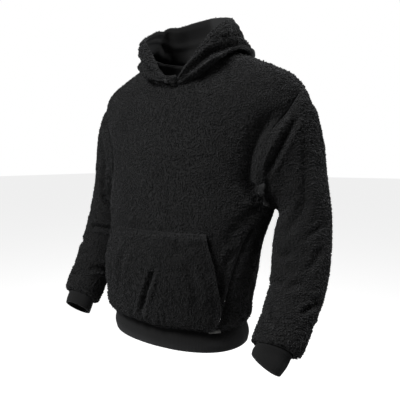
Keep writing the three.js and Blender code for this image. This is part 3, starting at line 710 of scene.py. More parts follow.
def pile_shade_group() -> bpy.types.NodeTree:
    """Builds the group that colours pile: lumps of two sizes give its colour and its height. The fine curls raise the
    bump and lighten the colour together, so the bump's hollows get painted shade and its tops get painted light; the
    broad patches vary the tone at random.
    """
    group = bpy.data.node_groups.new("pile_shade", "ShaderNodeTree")
    for name, kind, value in (
        ("Dark", "NodeSocketColor", (0.004, 0.004, 0.004, 1.0)),
        ("Light", "NodeSocketColor", (0.02, 0.02, 0.02, 1.0)),
        ("Curl Scale", "NodeSocketFloat", 260.0),
        ("Patch Scale", "NodeSocketFloat", 14.0),
    ):
        socket = group.interface.new_socket(name, in_out="INPUT", socket_type=kind)
        socket.default_value = value
    group.interface.new_socket("Color", in_out="OUTPUT", socket_type="NodeSocketColor")
    group.interface.new_socket("Height", in_out="OUTPUT", socket_type="NodeSocketFloat")
    nodes = Nodes(group)
    entry, leave = nodes.add("NodeGroupInput"), nodes.add("NodeGroupOutput")
    place = nodes.add("ShaderNodeTexCoord")
    curls = nodes.add("ShaderNodeTexNoise")
    curls.inputs["Detail"].default_value = 3.0
    curls.inputs["Roughness"].default_value = 0.65
    patches = nodes.add("ShaderNodeTexNoise")
    patches.inputs["Detail"].default_value = 2.0
    nodes.join(place.outputs["Object"], curls.inputs["Vector"])
    nodes.join(place.outputs["Object"], patches.inputs["Vector"])
    nodes.join(entry.outputs["Curl Scale"], curls.inputs["Scale"])
    nodes.join(entry.outputs["Patch Scale"], patches.inputs["Scale"])
    spread = nodes.add("ShaderNodeMapRange")
    spread.inputs["From Min"].default_value = 0.3
    spread.inputs["From Max"].default_value = 0.7
    nodes.join(curls.outputs["Fac"], spread.inputs["Value"])
    weigh = nodes.add("ShaderNodeMath", operation="MULTIPLY_ADD")
    weigh.inputs[1].default_value = 0.35
    nodes.join(patches.outputs["Fac"], weigh.inputs[0])
    scaled = nodes.add("ShaderNodeMath", operation="MULTIPLY")
    scaled.inputs[1].default_value = 0.7
    nodes.join(spread.outputs["Result"], scaled.inputs[0])
    nodes.join(scaled.outputs[0], weigh.inputs[2])
    # Painted shade and light: the colour goes to Dark where the curls sit low and to Light where they stand high,
    # following the bump, with random patches of tone on top.
    blend = nodes.add("ShaderNodeMix", data_type="RGBA")
    nodes.join(weigh.outputs[0], blend.inputs["Factor"])
    nodes.join(entry.outputs["Dark"], blend.inputs[6])
    nodes.join(entry.outputs["Light"], blend.inputs[7])
    nodes.join(blend.outputs[2], leave.inputs["Color"])
    nodes.join(curls.outputs["Fac"], leave.inputs["Height"])
    return group


@dataclass(frozen=True)
class PileFinish:
    """Black pile fleece, or its flatter forms.

    Attributes:
        name: the material's name.
        dark: the colour in the bump's hollows, darker there as painted shade deep in the pile.
        light: the colour on the bump's tops, lighter there as painted light at the pile's tips.
        curl: how fine its curls are, in lumps a metre.
        sheen: how much light the fibres catch at a grazing angle.
        bump: how far the curls stand, in metres.
    """

    name: str
    dark: float
    light: float
    curl: float
    sheen: float
    bump: float

    def material(self, group: bpy.types.NodeTree) -> bpy.types.Material:
        """Builds the material around the shared shading group."""
        material = bpy.data.materials.new(self.name)
        material.use_nodes = True
        nodes = Nodes(material.node_tree)
        shader = material.node_tree.nodes["Principled BSDF"]
        shader.inputs["Roughness"].default_value = 0.95
        shader.inputs["Specular IOR Level"].default_value = 0.15
        shader.inputs["Sheen Weight"].default_value = self.sheen
        shader.inputs["Sheen Roughness"].default_value = 0.55
        shader.inputs["Sheen Tint"].default_value = (0.8, 0.82, 0.86, 1.0)
        shade = nodes.add("ShaderNodeGroup", node_tree=group)
        shade.inputs["Dark"].default_value = (self.dark,) * 3 + (1.0,)
        shade.inputs["Light"].default_value = (self.light,) * 3 + (1.0,)
        shade.inputs["Curl Scale"].default_value = self.curl
        # Base colour with painted shade in the pile's hollows and painted light on its tips, over random patches of
        # tone.
        nodes.join(shade.outputs["Color"], shader.inputs["Base Color"])
        bump = nodes.add("ShaderNodeBump")
        bump.inputs["Strength"].default_value = 0.8
        bump.inputs["Distance"].default_value = self.bump
        nodes.join(shade.outputs["Height"], bump.inputs["Height"])
        nodes.join(bump.outputs["Normal"], shader.inputs["Normal"])
        return material


@dataclass(frozen=True)
class TapeFinish:
    """Plain woven tape, or sewing thread.

    Attributes:
        name: the material's name.
        color: its colour.
        weave: threads a metre.
    """

    name: str
    color: tuple[float, float, float]
    weave: float

    def material(self) -> bpy.types.Material:
        """Builds the material: a fine weave on the object's own coordinates."""
        material = bpy.data.materials.new(self.name)
        material.use_nodes = True
        nodes = Nodes(material.node_tree)
        shader = material.node_tree.nodes["Principled BSDF"]
        shader.inputs["Roughness"].default_value = 0.8
        place = nodes.add("ShaderNodeTexCoord")
        weave = nodes.add("ShaderNodeTexWave", wave_type="BANDS", bands_direction="Z")
        weave.inputs["Scale"].default_value = self.weave
        weave.inputs["Distortion"].default_value = 1.5
        nodes.join(place.outputs["Object"], weave.inputs["Vector"])
        blend = nodes.add("ShaderNodeMix", data_type="RGBA")
        blend.inputs[6].default_value = tuple(0.75 * c for c in self.color) + (1.0,)
        blend.inputs[7].default_value = self.color + (1.0,)
        nodes.join(weave.outputs["Fac"], blend.inputs["Factor"])
        nodes.join(blend.outputs[2], shader.inputs["Base Color"])
        bump = nodes.add("ShaderNodeBump")
        bump.inputs["Distance"].default_value = 0.0002
        nodes.join(weave.outputs["Fac"], bump.inputs["Height"])
        nodes.join(bump.outputs["Normal"], shader.inputs["Normal"])
        return material


class Wardrobe:
    """The hoodie's materials, made once."""

    def __init__(self) -> None:
        """Builds each finish."""
        group = pile_shade_group()
        # Each finish's dark and light colours follow its bump: painted shade in the hollows, painted light on the
        # tops, plus random tone.
        self.pile = PileFinish("black_pile", 0.0020, 0.018, 300.0, 0.10, 0.0012).material(group)
        self.backing = PileFinish("fleece_backing", 0.008, 0.024, 700.0, 0.15, 0.0003).material(group)
        self.rib = PileFinish("black_rib", 0.005, 0.011, 900.0, 0.15, 0.0002).material(group)
        self.tape = TapeFinish("grey_tape", (0.35, 0.35, 0.34), 900.0).material()
        self.thread = TapeFinish("black_thread", (0.012, 0.012, 0.012), 1500.0).material()


class PileMaker:
    """Grows pile on a sheet: short curled tufts, by Geometry Nodes.

    Attributes:
        density: tufts a square metre.
        tilt: how far a tuft may lean, in degrees.
        least, most: the range of the tufts' scale.
    """

    density = 88000.0
    tilt = 38.0
    least = 0.7
    most = 1.3
    TUFT_HEIGHT = 3.9
    TUFT_WIDTH = 3.6

    def __init__(self, material: bpy.types.Material) -> None:
        """Makes the tuft and the tree."""
        self.material = material
        self.tuft = self._tuft()
        self.tree = self._tree()

    def _tuft(self) -> bpy.types.Object:
        """Returns one lock of pile: a small bent three-sided spindle, widest a third of the way up."""
        low, belly, high = -0.3 * self.TUFT_HEIGHT, 0.3 * self.TUFT_HEIGHT, 0.75 * self.TUFT_HEIGHT
        half = self.TUFT_WIDTH / 2
        ring = [(half * math.cos(a), half * math.sin(a), belly) for a in (0.2, 2.3, 4.4)]
        points = np.array([(0, 0, low), *ring, (0.3 * self.TUFT_HEIGHT, 0.2, high)])
        faces = []
        for a, b in ((1, 2), (2, 3), (3, 1)):
            faces += [(0, b, a), (a, b, 4)]
        tuft = mesh_object("tuft_form", points, np.array(faces))
        tuft.data.materials.append(self.material)
        return tuft

    def _tree(self) -> bpy.types.NodeTree:
        """Returns the tree that scatters the tuft over a sheet."""
        tree = bpy.data.node_groups.new("pile_scatter", "GeometryNodeTree")
        tree.interface.new_socket("Geometry", in_out="INPUT", socket_type="NodeSocketGeometry")
        for name, kind in (("Tuft", "NodeSocketObject"), ("Density", "NodeSocketFloat"), ("Seed", "NodeSocketInt"),
                           ("Tilt", "NodeSocketFloat"), ("Least", "NodeSocketFloat"), ("Most", "NodeSocketFloat"),
                           ("Material", "NodeSocketMaterial")):
            tree.interface.new_socket(name, in_out="INPUT", socket_type=kind)
        tree.interface.new_socket("Geometry", in_out="OUTPUT", socket_type="NodeSocketGeometry")
        nodes = Nodes(tree)
        entry, leave = nodes.add("NodeGroupInput"), nodes.add("NodeGroupOutput")
        share = nodes.add("GeometryNodeInputNamedAttribute", data_type="FLOAT")
        share.inputs["Name"].default_value = "pile"
        density = nodes.add("ShaderNodeMath", operation="MULTIPLY")
        nodes.join(entry.outputs["Density"], density.inputs[0])
        nodes.join(share.outputs["Attribute"], density.inputs[1])
        scatter = nodes.add("GeometryNodeDistributePointsOnFaces", distribute_method="RANDOM")
        nodes.join(entry.outputs["Geometry"], scatter.inputs["Mesh"])
        nodes.join(density.outputs[0], scatter.inputs["Density"])
        nodes.join(entry.outputs["Seed"], scatter.inputs["Seed"])
        tilt = nodes.add("ShaderNodeCombineXYZ")
        back = nodes.add("ShaderNodeMath", operation="MULTIPLY")
        back.inputs[1].default_value = -1.0
        nodes.join(entry.outputs["Tilt"], back.inputs[0])
        lowest = nodes.add("ShaderNodeCombineXYZ")
        for axis in ("X", "Y"):
            nodes.join(entry.outputs["Tilt"], tilt.inputs[axis])
            nodes.join(back.outputs[0], lowest.inputs[axis])
        tilt.inputs["Z"].default_value = 2 * math.pi
        turn = nodes.add("FunctionNodeRandomValue", data_type="FLOAT_VECTOR")
        nodes.join(lowest.outputs[0], turn.inputs[0])
        nodes.join(tilt.outputs[0], turn.inputs[1])
        nodes.join(entry.outputs["Seed"], turn.inputs["Seed"])
        euler = nodes.add("FunctionNodeEulerToRotation")
        nodes.join(turn.outputs[0], euler.inputs[0])
        rotate = nodes.add("FunctionNodeRotateRotation", rotation_space="LOCAL")
        nodes.join(scatter.outputs["Rotation"], rotate.inputs[0])
        nodes.join(euler.outputs[0], rotate.inputs[1])
        size = nodes.add("FunctionNodeRandomValue", data_type="FLOAT")
        nodes.join(entry.outputs["Least"], size.inputs[2])
        nodes.join(entry.outputs["Most"], size.inputs[3])
        nodes.join(entry.outputs["Seed"], size.inputs["Seed"])
        shape = nodes.add("GeometryNodeObjectInfo")
        nodes.join(entry.outputs["Tuft"], shape.inputs["Object"])
        place = nodes.add("GeometryNodeInstanceOnPoints")
        nodes.join(scatter.outputs["Points"], place.inputs["Points"])
        nodes.join(shape.outputs["Geometry"], place.inputs["Instance"])
        nodes.join(rotate.outputs[0], place.inputs["Rotation"])
        nodes.join(size.outputs[1], place.inputs["Scale"])
        real = nodes.add("GeometryNodeRealizeInstances")
        nodes.join(place.outputs[0], real.inputs[0])
        paint = nodes.add("GeometryNodeSetMaterial")
        nodes.join(real.outputs[0], paint.inputs["Geometry"])
        nodes.join(entry.outputs["Material"], paint.inputs["Material"])
        nodes.join(paint.outputs[0], leave.inputs[0])
        return tree

    def grow(self, skin: bpy.types.Object, name: str, seed: int) -> bpy.types.Object:
        """Grows the pile on one sheet, which is used up.

        Args:
            skin: the sheet, with its pile attribute.
            name: the new piece's name.
            seed: which random scatter.

        Returns:
            The pile as one plain mesh object.
        """
        values = {"Tuft": self.tuft, "Density": self.density, "Seed": seed, "Tilt": math.radians(self.tilt),
                  "Least": self.least, "Most": self.most, "Material": self.material}
        return baked(skin, self.tree, values, name)

    def put_away(self) -> None:
        """Removes the tuft that the tree copied from."""
        bpy.data.objects.remove(self.tuft)


def baked(base: bpy.types.Object, tree: bpy.types.NodeTree, values: dict[str, object], name: str) -> bpy.types.Object:
    """Runs a tree on an object and keeps the result as a plain mesh.

    Args:
        base: the object the tree works on, which is used up.
        tree: the Geometry Nodes tree.
        values: its inputs by name.
        name: the new piece's name.

    Returns:
        The new object.
    """
    modifier = base.modifiers.new("nodes", "NODES")
    modifier.node_group = tree
    for item in tree.interface.items_tree:
        if item.item_type == "SOCKET" and item.in_out == "INPUT" and item.name in values:
            modifier[item.identifier] = values[item.name]
    base.update_tag()
    depsgraph = bpy.context.evaluated_depsgraph_get()
    mesh = bpy.data.meshes.new_from_object(base.evaluated_get(depsgraph), depsgraph=depsgraph)
    mesh.name = name
    mesh.shade_smooth()
    bpy.data.objects.remove(base)
    piece = bpy.data.objects.new(name, mesh)
    bpy.context.scene.collection.objects.link(piece)
    return piece


class StitchMaker:
    """Sews runs of stitches along a line, by Geometry Nodes."""

    PITCH = 3.4
    LENGTH = 2.6
    WIDTH = 0.8

    def __init__(self, material: bpy.types.Material) -> None:
        """Makes the stitch and the tree."""
        self.material = material
        self.stitch = self._stitch()
        self.tree = self._tree()

    def _stitch(self) -> bpy.types.Object:
        """Returns one stitch: a short six-sided spindle along Z."""
        rings = ((-0.5, 0.35), (-0.25, 1.0), (0.25, 1.0), (0.5, 0.35))
        sides = 6
        points = [(self.WIDTH / 2 * r * math.cos(2 * math.pi * k / sides),
                   self.WIDTH / 2 * r * math.sin(2 * math.pi * k / sides), h * self.LENGTH)
                  for h, r in rings for k in range(sides)]
        faces = grid_faces(len(rings), sides, True)
        caps = [(0, 5, 4, 3), (0, 3, 2, 1)]
        top = (len(rings) - 1) * sides
        caps += [(top, top + 1, top + 2, top + 3), (top, top + 3, top + 4, top + 5)]
        stitch = mesh_object("stitch_form", np.array(points), np.concatenate([faces, np.array(caps)]))
        stitch.data.materials.append(self.material)
        return stitch

    def _tree(self) -> bpy.types.NodeTree:
        """Returns the tree that lays the stitch along each line of a mesh."""
        tree = bpy.data.node_groups.new("stitch_run", "GeometryNodeTree")
        tree.interface.new_socket("Geometry", in_out="INPUT", socket_type="NodeSocketGeometry")
        for name, kind in (("Stitch", "NodeSocketObject"), ("Pitch", "NodeSocketFloat"),
                           ("Material", "NodeSocketMaterial")):
            tree.interface.new_socket(name, in_out="INPUT", socket_type=kind)
        tree.interface.new_socket("Geometry", in_out="OUTPUT", socket_type="NodeSocketGeometry")
        nodes = Nodes(tree)
        entry, leave = nodes.add("NodeGroupInput"), nodes.add("NodeGroupOutput")
        line = nodes.add("GeometryNodeMeshToCurve")
        nodes.join(entry.outputs["Geometry"], line.inputs["Mesh"])
        steps = nodes.add("GeometryNodeCurveToPoints", mode="LENGTH")
        nodes.join(line.outputs[0], steps.inputs["Curve"])
        nodes.join(entry.outputs["Pitch"], steps.inputs["Length"])
        shape = nodes.add("GeometryNodeObjectInfo")
        nodes.join(entry.outputs["Stitch"], shape.inputs["Object"])
        place = nodes.add("GeometryNodeInstanceOnPoints")
        nodes.join(steps.outputs["Points"], place.inputs["Points"])
        nodes.join(shape.outputs["Geometry"], place.inputs["Instance"])
        nodes.join(steps.outputs["Rotation"], place.inputs["Rotation"])
        real = nodes.add("GeometryNodeRealizeInstances")
        nodes.join(place.outputs[0], real.inputs[0])
        paint = nodes.add("GeometryNodeSetMaterial")
        nodes.join(real.outputs[0], paint.inputs["Geometry"])
        nodes.join(entry.outputs["Material"], paint.inputs["Material"])
        nodes.join(paint.outputs[0], leave.inputs[0])
        return tree

    def sew(self, lines: list[np.ndarray], name: str) -> bpy.types.Object:
        """Sews along lines of points.

        Args:
            lines: each an array of points, in millimetres.
            name: the new piece's name.

        Returns:
            The stitches as one plain mesh object.
        """
        points = np.concatenate(lines)
        edges = []
        start = 0
        for line in lines:
            edges += [(start + k, start + k + 1) for k in range(len(line) - 1)]
            start += len(line)
        mesh = bpy.data.meshes.new(name + "_line")
        mesh.from_pydata((points * MM).tolist(), edges, [])
        base = bpy.data.objects.new(name + "_line", mesh)
        bpy.context.scene.collection.objects.link(base)
        values = {"Stitch": self.stitch, "Pitch": self.PITCH * MM, "Material": self.material}
        return baked(base, self.tree, values, name)

    def put_away(self) -> None:
        """Removes the stitch that the tree copied from."""
        bpy.data.objects.remove(self.stitch)


@dataclass
class Workshop:
    """What every sub-assembly works with."""

    wardrobe: Wardrobe
    pile: PileMaker
    stitches: StitchMaker

    def finish(self, cloth: Cloth, node: str, keep: np.ndarray | float, seed: int) -> bpy.types.Object:
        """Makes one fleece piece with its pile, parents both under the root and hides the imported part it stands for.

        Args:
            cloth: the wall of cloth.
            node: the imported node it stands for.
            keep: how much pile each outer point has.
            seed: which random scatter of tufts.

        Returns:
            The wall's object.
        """
        shell = cloth.shell()
        shell.data.materials.append(self.wardrobe.pile)
        shell.data.materials.append(self.wardrobe.backing)
        pile = self.pile.grow(cloth.skin(np.asarray(keep)), cloth.name + "_pile", seed)
        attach(pile, "root")
        declare(shell, node)
        LOG.info("%s: %d faces, pile %d faces", cloth.name, len(shell.data.polygons), len(pile.data.polygons))
        return shell


@dataclass(frozen=True)
class Cut:
    """The flat size of a piece of cloth, in millimetres, and its area as a share of that rectangle."""

    width: float
    length: float
    fill: float
    held: str
    rests_on: tuple[str, ...] = ()


def declare(shell: bpy.types.Object, node: str) -> None:
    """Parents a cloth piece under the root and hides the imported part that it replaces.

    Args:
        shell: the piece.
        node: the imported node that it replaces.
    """
    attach(shell, "root")
    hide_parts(node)


def swells(points: np.ndarray, seed: int) -> np.ndarray:
    """Returns the broad unevenness of a filled-out fleece panel, in millimetres."""
    return lumps(points, 95.0, seed) * 2.4 + lumps(points, 42.0, seed + 1) * 1.2


def clumps(points: np.ndarray, seed: int) -> np.ndarray:
    """Returns the small clumps of the pile, in millimetres."""
    return lumps(points, 15.0, seed) * 0.7 + lumps(points, 8.0, seed + 1) * 0.5


def walled(
    points: np.ndarray,
    sign: int,
    closed: bool,
    wall: float | np.ndarray,
    seed: int | None,
    sunk: float | np.ndarray = PILE_ROOT,
    full: float | np.ndarray = 1.0,
    lean: np.ndarray | None = None,
) -> tuple[np.ndarray, np.ndarray]:
    """Gives a surface its wall and its pile's small clumps.

    Args:
        points: rows of points of the cloth's outer surface.
        sign: which way the normals are turned, as in normals_of.
        closed: whether the last column meets the first.
        wall: how deep the cloth's inside lies.
        seed: which clumps, or None for cloth with none.
        sunk: how deep the cloth's outside lies, under its pile.
        full: how much of that thickness and of the clumps each point has, less where seams meet.
        lean: the way out where it is less, or None for the grid's own.

    Returns:
        The outer points and the inner ones, which stay smooth.
    """
    normals = normals_of(points, sign, closed)
    if lean is not None:
        normals = unit(normals * full[..., None] + lean * (1 - full)[..., None])
    inner = points - normals * (THINNEST_WALL + (wall - THINNEST_WALL) * full * np.ones(points.shape[:2]))[..., None]
    if seed is None:
        return points, inner
    return points + normals * ((clumps(points, seed) - sunk) * full)[..., None], inner


@dataclass
class Body:
    """The front and back panels, puffed out over the hem band.

    Attributes:
        columns, rows: how finely a panel is divided.
        puff: how far the fleece stands out over the band.
        drop: how far it sags below the band's top at the sides.
        scallop: how much more or less it sags from place to place.
        seam_width, seam_depth, armhole_depth: the valley along the side seams and the armholes.
        seam_hold: how far from a seam it holds the cloth in place.
        underarm_ease: how far from the underarm the cloth lies smooth.
    """

    columns: int = 101
    rows: int = 124
    puff: float = 8.5
    drop: float = 5.0
    scallop: float = 5.0
    seam_width: float = 6.0
    seam_depth: float = 4.0
    armhole_depth: float = 1.5
    seam_hold: float = 10.0
    underarm_ease: float = 26.0
    CURL: tuple[tuple[float, float], ...] = ((0.6, 1.0), (2.0, -2.5), (5.0, -4.5), (8.0, -3.0))
    FRONT_CREASES: tuple[Crease, ...] = (
        Crease(((0.99, 0.92), (0.97, 0.82), (0.96, 0.72), (0.94, 0.63), (0.91, 0.54), (0.84, 0.38)), 18.0, 28.0, 0.05),
        Crease(((-0.98, 0.88), (-0.94, 0.78), (-0.90, 0.68), (-0.86, 0.60), (-0.82, 0.52)), 6.0, 14.0, 0.1),
        Crease(((0.86, 0.50), (0.80, 0.40), (0.78, 0.30)), 4.0, 12.0),
        Crease(((0.90, 0.34), (0.86, 0.24), (0.84, 0.12)), 3.0, 8.0),
        Crease(((-0.88, 0.40), (-0.84, 0.28), (-0.86, 0.14)), 3.5, 9.0),
        Crease(((0.70, 0.12), (0.72, 0.06), (0.71, 0.00)), 3.0, 5.0),
        Crease(((-0.66, 0.10), (-0.70, 0.05), (-0.69, 0.00)), 3.0, 6.0),
    )
    BACK_CREASES: tuple[Crease, ...] = (
        Crease(((0.97, 0.88), (0.92, 0.78), (0.87, 0.68), (0.83, 0.58), (0.76, 0.48)), 7.0, 14.0, 0.1),
        Crease(((-0.97, 0.89), (-0.93, 0.79), (-0.88, 0.69), (-0.82, 0.60), (-0.74, 0.51)), 8.0, 15.0, 0.1),
        Crease(((0.74, 0.56), (0.58, 0.44), (0.46, 0.30)), 4.5, 14.0),
        Crease(((-0.70, 0.50), (-0.52, 0.40), (-0.36, 0.34)), 4.0, 13.0),
        Crease(((0.30, 0.20), (0.34, 0.10), (0.32, 0.01)), 4.0, 9.0),
        Crease(((-0.44, 0.24), (-0.40, 0.12), (-0.42, 0.00)), 4.5, 8.0),
        Crease(((-0.06, 0.14), (-0.08, 0.07), (-0.05, 0.00)), 3.5, 6.0),
        Crease(((0.70, 0.18), (0.74, 0.09), (0.72, 0.00)), 4.0, 7.0),
        Crease(((-0.78, 0.14), (-0.75, 0.06), (-0.77, 0.00)), 3.0, 5.0),
    )

    def panel(self, side: int) -> Cloth:
        """Works out one panel.

        Args:
            side: -1 for the front and 1 for the back.

        Returns:
            The wall of cloth, with its fold over the band.
        """
        share = np.sin(np.linspace(-1, 1, self.columns) * SEAM_CROWDING) / math.sin(SEAM_CROWDING)
        climb = np.linspace(0, 1, self.rows)
        u, v = np.meshgrid(share, climb)
        points = panel_point(side, u, v)
        normals = normals_of(points, -side, False)
        shift = smooth(0, 0.12, 1 - np.abs(u)) * swells(points, 11 + side)
        for crease in self.FRONT_CREASES if side < 0 else self.BACK_CREASES:
            shift = shift + crease.shift(points, lambda a, b: panel_point(side, a, b))
        from_side = (1 - np.abs(u)) * np.linalg.norm(points[:, -1] - points[:, 0], axis=1)[:, None] / 2
        shift *= smooth(0, self.seam_hold, from_side)
        depth = mix(self.seam_depth, self.armhole_depth, smooth(UNDERARM_Z - 60, UNDERARM_Z, points[..., 2]))
        shift -= depth * np.exp(-((from_side / self.seam_width) ** 2))
        full = np.ones(points.shape[:2])
        for end in (-1, 1):
            underarm = armhole_point(np.array([math.pi]))[0] * np.array([end, 1, 1])
            away = np.linalg.norm(points - underarm, axis=2)
            shift *= 1 - np.exp(-((away / self.underarm_ease) ** 2))
            full *= smooth(self.underarm_ease * 2, self.underarm_ease * 3.4, away)
        near_hem = smooth(-604, -640, points[..., 2])
        scallops = lumps(points * np.array([1, 1, 0.01]), 34.0, 5)
        aside = unit(stack(normals[..., 0], normals[..., 1], 0.0))
        puff = self.puff * (1 - 0.65 * smooth(0.35, 0.9, aside[..., 0])) * (1 + 0.5 * smooth(-0.6, 0.1, aside[..., 0]))
        points = points + normals * shift[..., None] + aside * (puff * near_hem)[..., None]
        drop = self.drop * smooth(0.1, 0.8, np.abs(aside[..., 0]))
        points[..., 2] -= near_hem * (drop + self.scallop * scallops)
        foot, start = points[0], panel_point(side, share, 0.0)
        curl = []
        for stand, rise in self.CURL:
            level = start + aside[0] * (stand * np.maximum(puff[0] / self.puff, 0.7))[:, None]
            level[:, 2] = (foot[:, 2] if stand > 1 else BAND_TOP_Z) + rise
            curl.append(level)
        grid = np.concatenate([np.array(curl), points])
        height = np.concatenate([np.zeros(len(curl)), climb])[:, None]
        sunk = PILE_ROOT * np.broadcast_to(smooth(1.0, 0.93, height), grid.shape[:2])
        full = np.concatenate([np.ones((len(curl), self.columns)), full])
        lean = unit(stack(np.sign(grid[..., 0]), side * 1.4, -0.4))
        outer, inner = walled(grid, -side, False, sunk + PILE_BACK - PILE_ROOT, 101 + side, sunk, full, lean)
        outer[:2] = grid[:2]
        return Cloth("front_panel" if side < 0 else "back_panel", outer, inner, -side)

    def build(self, shop: Workshop) -> None:
        """Makes both panels and their pile."""
        for side, node, seed in ((-1, "front", 21), (1, "back", 22)):
            cloth = self.panel(side)
            edge = np.minimum(np.arange(self.columns), np.arange(self.columns)[::-1])
            keep = np.tile(np.where(edge < 2, 0.25, 1.0), (cloth.outer.shape[0], 1))
            keep[:2] = 0.5
            shop.finish(cloth, node, keep, seed)


@dataclass
class Sleeve:
    """One sleeve, gathered over its cuff.

    Attributes:
        side: 1 for the wearer's left and -1 for the right.
        columns, rows: how finely it is divided.
        ROLL: how far the first fold stands out in front of the armhole, left and right.
        roll_at, roll_reach: where that fold lies round the sleeve, and how far it runs to each side.
    """

    side: int
    columns: int = 92
    rows: int = 124
    ROLL: ClassVar[dict[int, float]] = {1: 9.0, -1: -2.0}
    roll_at: float = math.radians(98)
    roll_reach: float = math.radians(50)
    RINGS: float = 13.0
    LEFT_CREASES: tuple[Crease, ...] = (
        Crease(((38, 0.8), (48, 1.1), (60, 1.3), (74, 1.5), (88, 1.5), (101, 1.3), (120, 0.7)), 8.5, 7.0, 0.5),
        Crease(((39, 1.5), (49, 2.7), (57, 3.9), (66, 4.9), (74, 5.4), (92, 6.0), (110, 6.5), (135, 6.9)), 5.0, 10.0),
        Crease(((34, 6.2), (43, 6.4), (58, 6.6), (74, 7.0)), 4.5, 6.0),
        Crease(((28, 7.0), (40, 7.4), (50, 7.9), (64, 8.2)), 5.0, 8.0),
        Crease(((58, 8.6), (78, 8.9), (98, 9.1)), 4.5, 8.0),
        Crease(((10, 8.9), (27, 9.2), (42, 9.3)), 5.0, 5.0),
        Crease(((0, 9.2), (14, 9.3), (33, 9.6), (50, 10.2)), 6.5, 6.0),
        Crease(((120, 10.0), (108, 10.4), (95, 10.8), (68, 11.2)), 5.5, 7.0),
        Crease(((165, 7.2), (131, 7.6), (108, 7.7), (86, 7.4)), 7.0, 8.0),
        Crease(((170, 9.0), (141, 8.8), (112, 8.9), (92, 8.6)), 6.0, 7.0),
        Crease(((322, 0.9), (308, 1.4), (292, 1.6), (272, 1.5), (252, 1.0)), 7.0, 8.0, 0.5),
        Crease(((318, 2.4), (306, 3.8), (294, 5.0), (270, 6.0), (240, 6.6)), 5.0, 12.0),
        Crease(((196, 6.9), (222, 6.5), (250, 6.8)), 6.0, 9.0),
        Crease(((336, 8.0), (306, 8.5), (276, 8.3)), 5.0, 8.0),
        Crease(((200, 8.5), (228, 8.9), (256, 9.2)), 5.0, 7.0),
        Crease(((345, 10.3), (318, 9.8), (288, 10.1)), 5.5, 7.0),
        Crease(((210, 10.4), (240, 10.0), (266, 10.5)), 5.0, 6.0),
    )
    RIGHT_CREASES: tuple[Crease, ...] = (
        Crease(((96, 4.2), (106, 4.5), (118, 4.8), (130, 5.1), (143, 5.6), (158, 6.1)), 7.0, 7.0, 0.5),
        Crease(((90, 1.2), (96, 2.0), (102, 3.0), (107, 4.0)), 4.0, 8.0),
        Crease(((76, 7.5), (92, 7.45), (108, 7.4), (136, 7.4), (152, 7.3)), 7.0, 7.0, 0.5),
        Crease(((120, 10.1), (149, 9.9), (170, 9.8), (205, 9.8)), 6.5, 8.0),
        Crease(((42, 1.0), (58, 1.3), (74, 1.4), (88, 1.2)), 5.0, 8.0, 0.5),
        Crease(((30, 6.2), (46, 6.5), (64, 6.9)), 4.5, 7.0),
        Crease(((18, 8.1), (38, 8.5), (60, 8.3)), 5.0, 8.0),
        Crease(((62, 9.1), (84, 9.3), (106, 9.1)), 5.0, 7.0),
        Crease(((6, 9.8), (26, 10.1), (48, 9.9)), 5.5, 6.0),
        Crease(((60, 11.1), (84, 10.7), (108, 10.9)), 5.0, 6.0),
        Crease(((320, 1.0), (304, 1.5), (286, 1.6), (262, 1.2)), 7.0, 9.0, 0.5),
        Crease(((314, 2.6), (300, 4.2), (282, 5.4), (256, 6.2)), 5.0, 12.0),
        Crease(((200, 7.1), (226, 6.7), (252, 6.9)), 6.0, 9.0),
        Crease(((332, 7.6), (304, 8.2), (272, 8.0)), 5.0, 8.0),
        Crease(((218, 8.8), (244, 9.2), (270, 9.0)), 5.0, 7.0),
        Crease(((340, 10.0), (312, 10.4), (282, 10.1)), 5.0, 7.0),
    )

    def build(self, shop: Workshop) -> None:
        """Makes the sleeve and its pile."""
        name = "sleeve_left" if self.side > 0 else "sleeve_right"
        turn = np.linspace(0, 2 * math.pi, self.columns, endpoint=False)
        ring = np.linspace(0, self.RINGS, self.rows)
        u, v = np.meshgrid(turn, ring)
        points = sleeve_point(u, v)
        normals = normals_of(points, self.sign(points), True)
        shift = smooth(0, 1.2, v) * swells(points, 31 + self.side)
        for crease in self.LEFT_CREASES if self.side > 0 else self.RIGHT_CREASES:
            shift = shift + crease.shift(points, lambda a, b: sleeve_point(np.radians(a), b))
        shift *= smooth(0, 0.4, v)
        shift -= 1.5 * np.exp(-((v / 0.25) ** 2))
        roll = np.exp(-(((u - self.roll_at) / self.roll_reach) ** 2))
        reach = 0.45 if self.side > 0 else 3.0
        shift += self.ROLL[self.side] * roll * np.exp(-(((v - 0.8) / reach) ** 2)) * smooth(0, 0.4, v)
        shift *= smooth(self.RINGS, self.RINGS - 0.6, v)
        points = points + normals * shift[..., None]
        sag = smooth(11, 12.3, v) * smooth(13, 12.4, v) * (1 + lumps(points, 24.0, 9)) * 3.0
        points += np.array([-0.23, -0.55, -0.6]) * sag[..., None]
        points = on_arm(self.side, points)
        full = smooth(-0.4, 0.8, v)
        outer, inner = walled(points, self.sign(points), True, PILE_BACK, 131 + self.side, PILE_ROOT, full)
        outer[-1] = points[-1]
        cloth = Cloth(name + "_cloth", outer, inner, self.sign(points), True)
        keep = np.ones((self.rows, self.columns))
        keep[-2:] = 0.3
        shop.finish(cloth, name, keep, 40 + self.side)

    @staticmethod
    def sign(points: np.ndarray) -> int:
        """Returns which way round the grid of a tube runs."""
        normals = normals_of(points, 1, True)
        outward = points - points.mean(axis=1, keepdims=True)
        return 1 if (normals * outward).sum() > 0 else -1


